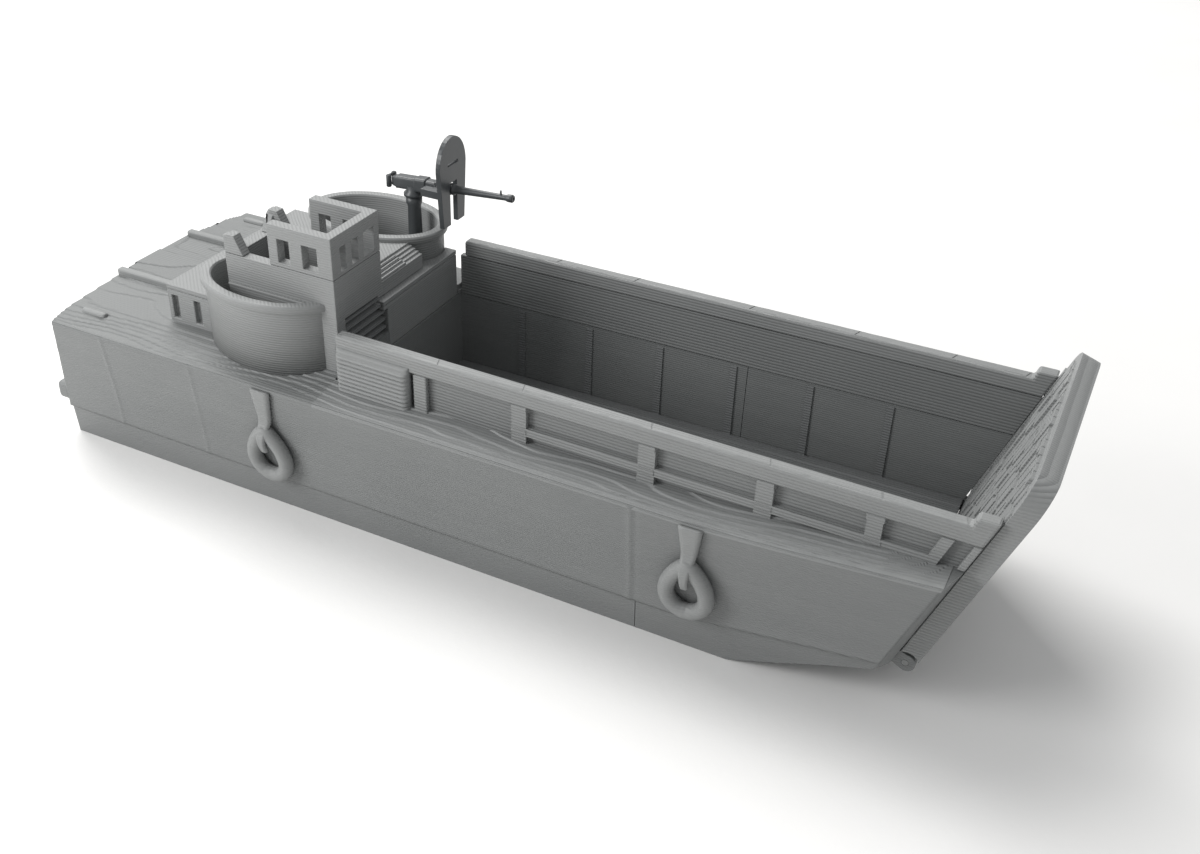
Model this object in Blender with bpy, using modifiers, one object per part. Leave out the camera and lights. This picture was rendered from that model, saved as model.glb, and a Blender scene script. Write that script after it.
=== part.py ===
"""A printed desk model of a military landing craft, with a bow ramp that lowers and a deck gun
that swivels. Its length is an assumed one.

The frame has +X towards the bow, +Y to port and +Z up. Its origin is the middle of the model's
footprint, on the surface it stands on. Sizes below are in millimetres; along the length they are
stations counted forward from the transom's deck edge. place() turns them into metres.
"""
import math

import bmesh
import bpy
from mathutils import Matrix, Vector

MM = 0.001
GAP = 0.05                                   # air left between two pieces that touch
CLEAR_OF_ALL = 60.0                          # where cutting shapes end, past everything they cut
STARBOARD = -1
PORT = 1
SIDES = {"starboard": STARBOARD, "port": PORT}

# Hull
TRANSOM = -2.4                               # at its foot
TRANSOM_RAKE = ((-2.4, 9.0), (-0.6, 22.0))   # (station, height) where it starts to lean, and at the deck
SEAM = 98.2                                  # where the two printed hull blocks meet
BOTTOM_HALF = 21.0
CHINE_HALF = 21.4
CHINE_Z = 5.4
DECK_HALF = 23.4
DECK_Z = 22.0                                # height of the deck edge amidships
SIDE_DECK = 17.0                             # half breadth where the side deck meets the camber
SIDE_DECK_RISE = 0.15                        # of the deck from its edge to there
CAMBER = ((9.0, 0.9), (0.0, 1.3))            # (half breadth, rise above the edge) of the aft deck
BOW_SETBACK = 1.3                            # of the side's end from the ramp
BOW_HALF = 19.4                              # half breadth of the hull behind the ramp
BOTTOM_RISE_FROM = 111.5
BOTTOM_RISE_SLOPE = 0.36
BOTTOM_RISE_TOP = 7.2
SHEER_FROM = 105.0
SHEER_LENGTH = 33.0
SHEER_RISE = 2.3
CHINE_SHEER = 0.13                           # rise of the chine for each millimetre forward of there

# Bow ramp, hinged at its foot
HINGE_X = 133.8
HINGE_Z = 7.4
RAMP_LEAN = math.radians(19.6)
RAMP_LENGTH = 31.5
RAMP_THICK = 2.6
RAMP_HALF = 18.6
RAMP_CORNER = 4.0
RAMP_CLEAR = 0.3                             # between the closed ramp and the bow
PIN_RADIUS = 0.45
PIN_BORE = 0.6
LUG_Y = (17.7, 18.55)                        # within the ramp's breadth, where its foot is notched
NOTCH = (1.75, 17.45)                        # radius about the hinge, and where the notch begins

# Bulwarks and rails, which spread a little towards the bow
WELL_AFT = 48.6
WELL_FLOOR = 9.0
FLOOR_PLATE = 0.8
RAIL_AFT = 49.5
RAIL_HALF = 18.5
RAIL_SPREAD = 1.1 / 89.2                     # sideways for each millimetre forward
RAIL_WIDTH = 2.0
RAIL_BOTTOM = 28.4
RAIL_TOP = 30.9
RAIL_END_TOP = 32.2
RAIL_END_FROM = 137.8
PANEL_SET_IN = 0.85
PANEL_THICK = 1.05
PANEL_FOOT = 21.5
MID_RAIL = (24.1, 25.3)
FIRST_POST = (62.3, 64.4)
POSTS = ((77.8, 80.0), (96.3, 98.7), (112.2, 114.5), (126.1, 128.1))
SLANT_POST = (133.4, 134.9)                  # at its foot
END_POST_WIDTH = 0.9
LOUVRE = (49.7, 61.7)
LOUVRE_Z = (22.25, 29.2)
LOUVRE_PROUD = 0.6

# Engine casing, tubs and pilothouse, which stand in a seat cut into the aft deck
SEAT_Z = 21.6
CASING_AFT = 16.7
CASING_FRONT = 48.4
CASING_HALF = 15.8
CASING_TOP = 29.5
ROOF_THICK = 0.8
CASING_WINDOWS = (18.1, 22.3)
CASING_WINDOW = (1.2, 0.8, 3.8)              # width, depth, height
CASING_WINDOW_Z = 24.0
TUB_X = 35.5
TUB_Y = 13.0
TUB_LONG = 11.5                              # half the wall's length and breadth
TUB_WIDE = 7.6
TUB_RIM = 33.9
TUB_LIP = (0.6, 1.2)                         # how far the rim stands proud, and its depth
TUB_WALL = 1.0
TUB_FLOOR = 24.0
TUB_SIDES = 48
PILOT_X = (29.6, 48.4)
PILOT_Y = (-16.3, -4.9)
PILOT_WALL = 1.6
PILOT_SILL = 37.9
PILOT_FLOOR = 26.0
HORN_TOP = 40.9
HORN_PEAK = (0.6, 1.9)                       # from the aft wall to the two ends of a horn's top
HORN_REACH = 3.3                             # length of a horn along each wall
WING_THICK = 1.2
FRAME_AFT = 37.6
FRAME_TOP = 44.2
FRAME_BAR = 2.0
WINDOW_RISE = 0.7                            # of the openings above the sill
SIDE_WINDOWS = ((39.2, 41.2), (43.4, 45.9))
FRONT_WINDOWS = ((-14.3, -12.9), (-11.6, -10.0), (-8.7, -6.2))
GRILLE_Y = (-14.3, -3.9)
GRILLE_TOP = 31.2
GRILLE_DEPTH = 1.8
GRILLE_RIBS = 7
GRILLE_PLATE = 0.5
GRILLE_BAR = 1.3                             # from the plate's back to the bars' face
RECESS_TOP = 28.0                            # where the casing front overhangs the grille
COWL_X = (37.0, 44.8)
COWL_FRONT = 47.2
COWL_PORT = 7.8
COWL_TOP = 33.2
COWL_STEPS = 4
COWL_STEP_DROP = 0.33

# Small fittings
STRIP_Y = 8.3
STRIP_WIDE = 1.3
STRIP_Z = (23.0, 24.8)
STRIP_AFT = -0.5
LEDGE_X = (-5.2, -2.4)
LEDGE_Z = (5.8, 8.8)
CLEAT_X = (2.2, 7.0)
CLEAT_Y = 19.4
CLEAT_FOOT = (0.9, 0.7, 0.6)                 # half length at the deck, half length above, height
CLEAT_HORN = (0.8, 1.3)                      # heights of the horns' under and upper sides
CLEAT_HALF = 0.5
FENDERS = {"aft": (39.4, 9.6), "bow": (105.9, 10.6)}
FENDER_HALF = (2.8, 2.95, 5.0)               # of the ring's centre line: along, down and up
FENDER_TUBE = 1.2
FENDER_PINCH = 0.4                           # how much the ring narrows towards its top
STRAP_HALF = (1.6, 0.9)                      # at the deck edge and at the ring
STRAP_TOP = 21.4
STRAP_THICK = 0.9

# Deck gun in the port tub
GUN_X = 41.0
GUN_Y = 15.5
GUN_Z = 39.4
GUN_RAISE = math.radians(3.7)
PEDESTAL_TOP = 37.4
BARREL_END = 59.0
BARREL = (0.75, 0.42)                        # radius at the breech and at the muzzle
SHIELD_X = 48.0
SHIELD_THICK = 0.8
SHIELD_HALF = 3.8
SHIELD_BOTTOM = 34.3
SHIELD_TOP = 48.4

LIGHT_GREY = (0.33, 0.33, 0.34)
DARK_GREY = (0.10, 0.11, 0.12)


def top_point_of_ramp():
    """The ramp's upper outer edge, as (station, height)."""
    half = RAMP_THICK / 2
    return (HINGE_X + RAMP_LENGTH * math.sin(RAMP_LEAN) + half * math.cos(RAMP_LEAN),
            HINGE_Z + RAMP_LENGTH * math.cos(RAMP_LEAN) - half * math.sin(RAMP_LEAN))


MIDSHIP = (LEDGE_X[0] + top_point_of_ramp()[0]) / 2


def place(x, y, z):
    """A point in metres, in the model's frame."""
    return Vector(((x - MIDSHIP) * MM, y * MM, z * MM))


def bow_plane(z):
    """Station of the slanted bow face, just behind the closed ramp."""
    behind = RAMP_THICK / 2 + RAMP_CLEAR
    return HINGE_X + (z - HINGE_Z) * math.tan(RAMP_LEAN) - behind / math.cos(RAMP_LEAN)


def deck_z(x):
    """Height of the deck's outer edge at a station."""
    forward = max(0.0, (x - SHEER_FROM) / SHEER_LENGTH)
    return DECK_Z + SHEER_RISE * forward ** 1.3


def side_half(x, z):
    """The hull's half breadth at a station and a height above the chine."""
    chine = CHINE_Z + max(0.0, x - SHEER_FROM) * CHINE_SHEER
    return CHINE_HALF + (DECK_HALF - CHINE_HALF) * (z - chine) / (deck_z(x) - chine)


# ---------------------------------------------------------------- scene and materials

def clear_scene():
    for obj in list(bpy.data.objects):
        bpy.data.objects.remove(obj, do_unlink=True)


def new_collection(name):
    collection = bpy.data.collections.new(name)
    bpy.context.scene.collection.children.link(collection)
    return collection


clear_scene()
CRAFT = new_collection("landing_craft")
CUTTERS = new_collection("cutters")


def material(name, colour, roughness):
    made = bpy.data.materials.new(name)
    made.use_nodes = True
    shader = made.node_tree.nodes["Principled BSDF"]
    shader.inputs["Base Color"].default_value = (*colour, 1.0)
    shader.inputs["Roughness"].default_value = roughness
    shader.inputs["Metallic"].default_value = 0.0
    return made


def add_object(name, mesh, colour=LIGHT_GREY, roughness=0.6):
    """The mesh as an object of the craft, with a material of its own."""
    obj = bpy.data.objects.new(name, mesh)
    mesh.materials.append(material(name, colour, roughness))
    CRAFT.objects.link(obj)
    return obj


# ---------------------------------------------------------------- shapes

def box(name, xs, ys, zs, **look):
    """A block between two stations, two breadths and two heights."""
    low = place(min(xs), min(ys), min(zs))
    high = place(max(xs), max(ys), max(zs))
    mesh = bpy.data.meshes.new(name)
    shape = bmesh.new()
    bmesh.ops.create_cube(shape, size=1.0)
    bmesh.ops.scale(shape, vec=high - low, verts=shape.verts)
    bmesh.ops.translate(shape, vec=(low + high) / 2, verts=shape.verts)
    shape.to_mesh(mesh)
    shape.free()
    return add_object(name, mesh, **look)


def mesh_of_curve(name, curve, matrix):
    """A curve's solid as a mesh with its caps welded, placed by the matrix."""
    source = bpy.data.objects.new(name + "_outline", curve)
    CUTTERS.objects.link(source)
    bpy.context.view_layer.update()
    graph = bpy.context.evaluated_depsgraph_get()
    mesh = bpy.data.meshes.new_from_object(source.evaluated_get(graph))
    bpy.data.objects.remove(source, do_unlink=True)
    shape = bmesh.new()
    shape.from_mesh(mesh)
    bmesh.ops.remove_doubles(shape, verts=shape.verts, dist=1e-6)
    bmesh.ops.transform(shape, matrix=matrix, verts=shape.verts)
    bmesh.ops.recalc_face_normals(shape, faces=shape.faces)
    shape.to_mesh(mesh)
    shape.free()
    return mesh


def prism(name, outline, along, span, **look):
    """A flat outline in millimetres given a thickness.

    along "Y" takes (station, height) points, "X" takes (breadth, height) and "Z" takes
    (station, breadth). span holds the two ends of the thickness.
    """
    curve = bpy.data.curves.new(name, "CURVE")
    curve.dimensions = "2D"
    curve.fill_mode = "BOTH"
    curve.extrude = abs(span[1] - span[0]) / 2 * MM
    spline = curve.splines.new("POLY")
    spline.points.add(len(outline) - 1)
    for point, (u, v) in zip(spline.points, outline):
        point.co = (u * MM, v * MM, 0.0, 1.0)
    spline.use_cyclic_u = True
    middle = (span[0] + span[1]) / 2
    columns = {"X": ((0, 1, 0), (0, 0, 1), (1, 0, 0)),
               "Y": ((1, 0, 0), (0, 0, 1), (0, -1, 0)),
               "Z": ((1, 0, 0), (0, 1, 0), (0, 0, 1))}[along]
    origins = {"X": place(middle, 0, 0), "Y": place(0, middle, 0), "Z": place(0, 0, middle)}
    turned = Matrix(columns).transposed().to_4x4()
    mesh = mesh_of_curve(name, curve, Matrix.Translation(origins[along]) @ turned)
    return add_object(name, mesh, **look)


def rod(name, radius, start, end, sides=24, end_radius=None, **look):
    """A round bar between two points in millimetres, which may taper."""
    a = place(*start)
    b = place(*end)
    mesh = bpy.data.meshes.new(name)
    shape = bmesh.new()
    bmesh.ops.create_cone(shape, cap_ends=True, segments=sides, radius1=radius * MM,
                          radius2=(end_radius or radius) * MM, depth=(b - a).length)
    turned = (b - a).to_track_quat("Z", "Y").to_matrix().to_4x4()
    bmesh.ops.transform(shape, matrix=Matrix.Translation((a + b) / 2) @ turned, verts=shape.verts)
    shape.to_mesh(mesh)
    shape.free()
    return add_object(name, mesh, **look)


def helper(obj):
    """Takes an object out of the model, to cut or join with."""
    CRAFT.objects.unlink(obj)
    CUTTERS.objects.link(obj)
    obj.hide_render = True
    obj.display_type = "WIRE"
    return obj


def boolean(obj, operation, other):
    """Adds one exact Boolean that uses another object, which becomes a helper."""
    if other.name in CRAFT.objects:
        helper(other)
    step = obj.modifiers.new(operation.lower(), "BOOLEAN")
    step.operation = operation
    step.solver = "EXACT"
    step.object = other


def bevel(obj, width, segments=2):
    step = obj.modifiers.new("bevel", "BEVEL")
    step.width = width * MM
    step.segments = segments
    step.limit_method = "ANGLE"


def oval(centre_y, grow=0.0):
    """A gun tub's outline in plan, grown or shrunk."""
    turns = [2 * math.pi * i / TUB_SIDES for i in range(TUB_SIDES)]
    return [(TUB_X + (TUB_LONG + grow) * math.cos(t), centre_y + (TUB_WIDE + grow) * math.sin(t))
            for t in turns]


def spread(obj, side):
    """Turns a straight bulwark piece outwards, about its aft end."""
    pivot = place(RAIL_AFT, side * RAIL_HALF, 0)
    turn = Matrix.Rotation(side * math.atan(RAIL_SPREAD), 4, "Z")
    obj.data.transform(Matrix.Translation(pivot) @ turn @ Matrix.Translation(-pivot))
    return obj


def spread_outline(aft, forward, half):
    """Plan of the space between the bulwarks, whose half width is given at the rail's aft end."""
    a = half + (aft - RAIL_AFT) * RAIL_SPREAD
    f = half + (forward - RAIL_AFT) * RAIL_SPREAD
    return [(aft, -a), (forward, -f), (forward, f), (aft, a)]


# ---------------------------------------------------------------- hull

def hull_ring(x, lean=0.0, narrow=None):
    """One cross-section of the hull: points from the keel round by port and back."""
    foot = min(max(0.0, (x - BOTTOM_RISE_FROM) * BOTTOM_RISE_SLOPE), BOTTOM_RISE_TOP)
    chine = CHINE_Z + max(0.0, x - SHEER_FROM) * CHINE_SHEER
    edge = deck_z(x + lean * (DECK_Z - HINGE_Z))
    half = [(0.0, foot), (BOTTOM_HALF, foot), (CHINE_HALF, chine), (DECK_HALF, edge),
            (SIDE_DECK, edge + SIDE_DECK_RISE)] + [(y, edge + rise) for y, rise in CAMBER]
    if narrow:
        half = [(min(y, narrow), z) for y, z in half]
    ring = half + [(-y, z) for y, z in reversed(half[1:-1])]
    return [place(x + lean * (z - HINGE_Z), y, z) for y, z in ring]


def loft(name, rings):
    """A closed solid through rings of the same number of points."""
    mesh = bpy.data.meshes.new(name)
    shape = bmesh.new()
    rows = [[shape.verts.new(point) for point in ring] for ring in rings]
    count = len(rows[0])
    for low, high in zip(rows, rows[1:]):
        for i in range(count):
            j = (i + 1) % count
            shape.faces.new((low[i], low[j], high[j], high[i]))
    shape.faces.new(rows[0])
    shape.faces.new(rows[-1])
    bmesh.ops.recalc_face_normals(shape, faces=shape.faces)
    shape.to_mesh(mesh)
    shape.free()
    return add_object(name, mesh)


def cut_well(hull, tag, aft, forward):
    """Opens the cargo well, and the wider step in which the bulwark panels stand."""
    inner = RAIL_HALF - PANEL_SET_IN - PANEL_THICK
    floor = WELL_FLOOR - FLOOR_PLATE - GAP
    well = prism("well_" + tag, spread_outline(aft, forward, inner), "Z", (floor, 40.0))
    boolean(hull, "DIFFERENCE", well)
    step_outline = spread_outline(aft, forward, RAIL_HALF - PANEL_SET_IN + GAP)
    step = prism("panel_step_" + tag, step_outline, "Z", (PANEL_FOOT - GAP, 40.0))
    boolean(hull, "DIFFERENCE", step)


def build_hull_aft():
    hull = loft("hull_aft", [hull_ring(TRANSOM), hull_ring(SEAM - GAP)])
    (low_x, low_z), (high_x, high_z) = TRANSOM_RAKE
    slope = (high_x - low_x) / (high_z - low_z)
    top_z = high_z + 6.0
    wedge_outline = [(low_x, low_z), (low_x + slope * (top_z - low_z), top_z), (low_x - 4.0, top_z),
                     (low_x - 4.0, low_z)]
    wedge = prism("transom_rake", wedge_outline, "Y", (-CLEAR_OF_ALL, CLEAR_OF_ALL))
    boolean(hull, "DIFFERENCE", wedge)
    cut_well(hull, "aft", WELL_AFT, SEAM + 1.0)
    seat = box("casing_seat", (CASING_AFT - GAP, WELL_AFT + 1.0),
               (-CASING_HALF - GAP, CASING_HALF + GAP), (SEAT_Z - GAP, 40.0))
    boolean(hull, "DIFFERENCE", seat)
    pilot_seat = box("pilothouse_seat", (PILOT_X[0] - GAP, WELL_AFT + 1.0),
                     (PILOT_Y[0] - GAP, 0.0), (SEAT_Z - GAP, 40.0))
    boolean(hull, "DIFFERENCE", pilot_seat)
    for name, side in SIDES.items():
        tub_seat = prism("tub_seat_" + name, oval(side * TUB_Y, GAP), "Z", (SEAT_Z - GAP, 40.0))
        boolean(hull, "DIFFERENCE", tub_seat)


def build_hull_bow():
    end = bow_plane(HINGE_Z)
    stations = (SEAM + GAP, 104.0, BOTTOM_RISE_FROM, 118.0, 125.0, end - BOW_SETBACK)
    lean_from = 118.0
    full = math.tan(RAMP_LEAN)
    rings = []
    for x in stations:
        lean = full * max(0.0, (x - lean_from) / (end - BOW_SETBACK - lean_from))
        rings.append(hull_ring(x, lean))
    rings.append(hull_ring(end, full, narrow=BOW_HALF))
    hull = loft("hull_bow", rings)
    cut_well(hull, "bow", SEAM - 1.0, 160.0)
    reach = RAMP_THICK / 2 + RAMP_CLEAR
    foot = rod("ramp_foot_notch", reach, (HINGE_X, -CLEAR_OF_ALL, HINGE_Z),
               (HINGE_X, CLEAR_OF_ALL, HINGE_Z), 32)
    boolean(hull, "DIFFERENCE", foot)
    for name, side in SIDES.items():
        lug = prism("hinge_lug_" + name, lug_outline(), "Y", (side * LUG_Y[0], side * LUG_Y[1]))
        boolean(hull, "UNION", lug)
        bore = rod("lug_bore_" + name, PIN_RADIUS + GAP, (HINGE_X, side * 17, HINGE_Z),
                   (HINGE_X, side * 18.6, HINGE_Z))
        boolean(hull, "DIFFERENCE", bore)


def lug_outline():
    """Side view of a hinge lug: a round nose on the hinge axis, run back into the hull."""
    nose = RAMP_THICK / 2
    turns = [math.radians(-90 + 180 * i / 12) for i in range(13)]
    round_end = [(HINGE_X + nose * math.cos(t), HINGE_Z + nose * math.sin(t)) for t in turns]
    return round_end + [(HINGE_X - 4.0, HINGE_Z + nose + 1.5), (HINGE_X - 4.0, HINGE_Z + 0.9)]


def build_transom_ledge():
    ledge = box("transom_ledge", (LEDGE_X[0], LEDGE_X[1] - GAP), (-CHINE_HALF, CHINE_HALF), LEDGE_Z)
    bevel(ledge, 0.7, 3)


def build_cargo_floor():
    half = RAIL_HALF - PANEL_SET_IN - PANEL_THICK - GAP
    outline = spread_outline(WELL_AFT + GAP, bow_plane(WELL_FLOOR) - 1.2, half)
    prism("cargo_floor", outline, "Z", (WELL_FLOOR - FLOOR_PLATE, WELL_FLOOR))


# ---------------------------------------------------------------- bulwarks

def build_bulwark(name, side):
    outer = side * RAIL_HALF
    panel_face = side * (RAIL_HALF - PANEL_SET_IN)
    panel_back = side * (RAIL_HALF - PANEL_SET_IN - PANEL_THICK)
    under_rail = RAIL_BOTTOM - GAP

    panel_outline = [(WELL_AFT + GAP, PANEL_FOOT), (bow_plane(PANEL_FOOT), PANEL_FOOT),
                     (bow_plane(under_rail), under_rail), (WELL_AFT + GAP, under_rail)]
    spread(prism("bulwark_panel_" + name, panel_outline, "Y", (panel_back, panel_face)), side)

    rail_outline = [(RAIL_AFT, RAIL_BOTTOM), (bow_plane(RAIL_BOTTOM), RAIL_BOTTOM),
                    (bow_plane(RAIL_END_TOP), RAIL_END_TOP), (RAIL_END_FROM + 0.4, RAIL_END_TOP),
                    (RAIL_END_FROM, RAIL_TOP), (RAIL_AFT, RAIL_TOP)]
    inner = side * (RAIL_HALF - RAIL_WIDTH)
    spread(prism("top_rail_" + name, rail_outline, "Y", (inner, outer)), side)

    span = (panel_face + side * GAP, outer)
    spread(prism("rail_lattice_" + name, lattice_outline(), "Y", span), side)
    first = box("aft_rail_post_" + name, FIRST_POST, span,
                (deck_z(FIRST_POST[0]) + SIDE_DECK_RISE + GAP, under_rail))
    spread(first, side)
    foot = deck_z(138.0) + SIDE_DECK_RISE + GAP
    end_outline = [(bow_plane(foot) - END_POST_WIDTH, foot), (bow_plane(foot), foot),
                   (bow_plane(under_rail), under_rail),
                   (bow_plane(under_rail) - END_POST_WIDTH, under_rail)]
    spread(prism("bow_post_" + name, end_outline, "Y", span), side)

    face = RAIL_HALF + LOUVRE_PROUD
    back = RAIL_HALF - PANEL_SET_IN + GAP
    louvre_outline = [(back, LOUVRE_Z[0]), (face, LOUVRE_Z[0]), (face, LOUVRE_Z[1]),
                      (RAIL_HALF + GAP, LOUVRE_Z[1]), (RAIL_HALF + GAP, under_rail),
                      (back, under_rail)]
    louvre_outline = [(side * y, z) for y, z in louvre_outline]
    spread(prism("louvre_box_" + name, louvre_outline, "X", LOUVRE), side)


def lattice_outline():
    """The mid rail with its posts, as one flat outline: up over the posts, back under them."""
    top = RAIL_BOTTOM - GAP
    low, high = MID_RAIL

    def foot(x):
        return deck_z(x) + SIDE_DECK_RISE + GAP

    def slanted(x, z):
        return x + math.tan(RAMP_LEAN) * (z - foot(x))

    upper = []
    lower = []
    for aft, forward in POSTS:
        upper += [(aft, high), (aft, top), (forward, top), (forward, high)]
        lower += [(aft, low), (aft, foot(forward)), (forward, foot(forward)), (forward, low)]
    aft, forward = SLANT_POST
    upper += [(slanted(aft, high), high), (slanted(aft, top), top), (slanted(forward, top), top)]
    lower += [(slanted(aft, low), low), (aft, foot(aft)), (forward, foot(forward))]
    return upper[1:] + list(reversed(lower))[:-1]


# ---------------------------------------------------------------- engine casing and tubs

def cut_for_neighbours(obj, tag, proud=0.0):
    """Clears a casing piece of both tubs, or of their lips, and of the pilothouse."""
    for name, side in SIDES.items():
        tub = prism(f"{tag}_clear_tub_{name}", oval(side * TUB_Y, GAP + proud), "Z", (10.0, 50.0))
        boolean(obj, "DIFFERENCE", tub)
    pilot = box(f"{tag}_clear_pilothouse", (PILOT_X[0] - GAP, 60.0),
                (PILOT_Y[0] - 5.0, PILOT_Y[1] + GAP), (10.0, 50.0))
    boolean(obj, "DIFFERENCE", pilot)


def build_casing():
    breadth = (-CASING_HALF, CASING_HALF)
    roof_under = CASING_TOP - ROOF_THICK
    casing = box("engine_casing", (CASING_AFT, CASING_FRONT), breadth, (SEAT_Z, roof_under - GAP))
    width, depth, height = CASING_WINDOW
    for name, side in SIDES.items():
        for number, x in enumerate(CASING_WINDOWS):
            window = box(f"casing_window_{name}_{number}", (x - width / 2, x + width / 2),
                         (side * (CASING_HALF - depth), side * (CASING_HALF + 2)),
                         (CASING_WINDOW_Z, CASING_WINDOW_Z + height))
            boolean(casing, "DIFFERENCE", window)
    cut_for_neighbours(casing, "casing")
    roof = box("casing_roof", (CASING_AFT, CASING_FRONT), breadth, (roof_under, CASING_TOP))
    cut_for_neighbours(roof, "roof")
    recess = box("casing_grille_recess", (CASING_FRONT - GRILLE_DEPTH, CLEAR_OF_ALL),
                 (-20.0, GRILLE_Y[1] + GAP), (10.0, RECESS_TOP))
    boolean(casing, "DIFFERENCE", recess)

    low = CASING_TOP + GAP
    stair = []
    for step in range(COWL_STEPS):
        x = COWL_X[1] + (COWL_FRONT - COWL_X[1]) * step / COWL_STEPS
        stair += [(x, COWL_TOP - COWL_STEP_DROP * step), (x, COWL_TOP - COWL_STEP_DROP * (step + 1))]
    outline = [(COWL_X[0], low), (COWL_X[0], COWL_TOP)] + stair
    outline += [(COWL_FRONT, stair[-1][1]), (COWL_FRONT, low)]
    cowl = prism("engine_hatch", outline, "Y", (PILOT_Y[1] + GAP, COWL_PORT))
    cut_for_neighbours(cowl, "hatch", TUB_LIP[0])


def build_tub(name, side):
    tub = prism("gun_tub_" + name, oval(side * TUB_Y), "Z", (SEAT_Z, TUB_RIM))
    proud, deep = TUB_LIP
    lip = prism("tub_lip_" + name, oval(side * TUB_Y, proud), "Z", (TUB_RIM - deep, TUB_RIM))
    boolean(tub, "UNION", lip)
    hollow = prism("tub_hollow_" + name, oval(side * TUB_Y, -TUB_WALL), "Z", (TUB_FLOOR, 50.0))
    boolean(tub, "DIFFERENCE", hollow)
    if side == STARBOARD:
        clear = box("tub_clear_pilothouse", (PILOT_X[0] - GAP, 60.0),
                    (PILOT_Y[0] - GAP, 0.0), (10.0, 60.0))
        boolean(tub, "DIFFERENCE", clear)


# ---------------------------------------------------------------- pilothouse

def build_pilothouse():
    aft, front = PILOT_X
    starboard, port = PILOT_Y
    walls = box("pilothouse_walls", PILOT_X, PILOT_Y, (SEAT_Z, PILOT_SILL))
    room = box("pilothouse_room", (aft + PILOT_WALL, front - PILOT_WALL),
               (starboard + PILOT_WALL, port - PILOT_WALL), (PILOT_FLOOR, 60.0))
    boolean(walls, "DIFFERENCE", room)
    recess = box("grille_recess", (front - GRILLE_DEPTH, 60.0), (GRILLE_Y[0], 0.0),
                 (10.0, GRILLE_TOP))
    boolean(walls, "DIFFERENCE", recess)

    for name, (edge, turn) in {"starboard": (starboard, 1), "port": (port, -1)}.items():
        rise, fall = HORN_PEAK
        side_outline = [(aft, PILOT_SILL + GAP), (aft, HORN_TOP - 0.9), (aft + rise, HORN_TOP),
                        (aft + fall, HORN_TOP - 0.1), (aft + HORN_REACH, PILOT_SILL + GAP)]
        inner = edge + turn * PILOT_WALL
        horn = prism("pilothouse_horn_" + name, side_outline, "Y", (edge, inner))
        cross = [(edge, PILOT_SILL + GAP), (edge, HORN_TOP - 0.2), (edge + turn * 1.2, HORN_TOP - 0.2),
                 (edge + turn * HORN_REACH, PILOT_SILL + GAP)]
        wing = prism("horn_wing_" + name, cross, "X", (aft, aft + WING_THICK))
        boolean(horn, "UNION", wing)

    frame = box("pilothouse_window_frame", (FRAME_AFT, front), PILOT_Y, (PILOT_SILL + GAP, FRAME_TOP))
    inside = box("frame_inside", (FRAME_AFT - 5.0, front - PILOT_WALL),
                 (starboard + PILOT_WALL, port - PILOT_WALL), (PILOT_FLOOR, CLEAR_OF_ALL))
    boolean(frame, "DIFFERENCE", inside)
    window_z = (PILOT_SILL + WINDOW_RISE, FRAME_TOP - FRAME_BAR)
    for number, xs in enumerate(SIDE_WINDOWS):
        opening = box(f"side_window_{number}", xs, (starboard - 5.0, port + 5.0), window_z)
        boolean(frame, "DIFFERENCE", opening)
    for number, ys in enumerate(FRONT_WINDOWS):
        opening = box(f"front_window_{number}", (front - 5.0, front + 5.0), ys, window_z)
        boolean(frame, "DIFFERENCE", opening)


def build_grille():
    """The ribbed bulkhead under the pilothouse front: a plate with bars across it."""
    front = PILOT_X[1]
    low = SEAT_Z + 0.3
    ys = (GRILLE_Y[0] + GAP, GRILLE_Y[1] - GAP)
    top = GRILLE_TOP - GAP
    back = front - GRILLE_DEPTH + GAP
    pitch = (top - low) / GRILLE_RIBS
    face = []
    for rib in range(GRILLE_RIBS):
        z = low + pitch * rib
        face += [(back + GRILLE_PLATE, z), (back + GRILLE_BAR, z + 0.15 * pitch),
                 (back + GRILLE_BAR, z + 0.5 * pitch), (back + GRILLE_PLATE, z + 0.65 * pitch)]
    face += [(back + GRILLE_PLATE, top)]
    outline = [(back, low)] + face + [(back, top)]
    grille = prism("well_end_grille", outline, "Y", ys)
    clear = box("grille_clear_casing", (back - 1.0, 60.0), (PILOT_Y[1] - GAP, 0.0), (RECESS_TOP - GAP, 60.0))
    boolean(grille, "DIFFERENCE", clear)


# ---------------------------------------------------------------- fittings

def build_deck_strip(name, side):
    ys = (side * (STRIP_Y - STRIP_WIDE / 2), side * (STRIP_Y + STRIP_WIDE / 2))
    strip = box("deck_strip_" + name, (STRIP_AFT, CASING_AFT - 2 * GAP), ys, STRIP_Z)
    bevel(strip, 0.3)


def build_cleat(name, side):
    base = deck_z(0) + SIDE_DECK_RISE * (DECK_HALF - CLEAT_Y + 1.0) / (DECK_HALF - SIDE_DECK) + GAP
    middle = sum(CLEAT_X) / 2
    wide, thin, rise = CLEAT_FOOT
    under, over = CLEAT_HORN
    outline = [(middle - wide, base), (middle + wide, base), (middle + thin, base + rise),
               (CLEAT_X[1], base + under), (CLEAT_X[1], base + over), (CLEAT_X[0], base + over),
               (CLEAT_X[0], base + under), (middle - thin, base + rise)]
    ys = (side * (CLEAT_Y - CLEAT_HALF), side * (CLEAT_Y + CLEAT_HALF))
    prism("cleat_" + name, outline, "Y", ys)


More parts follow.
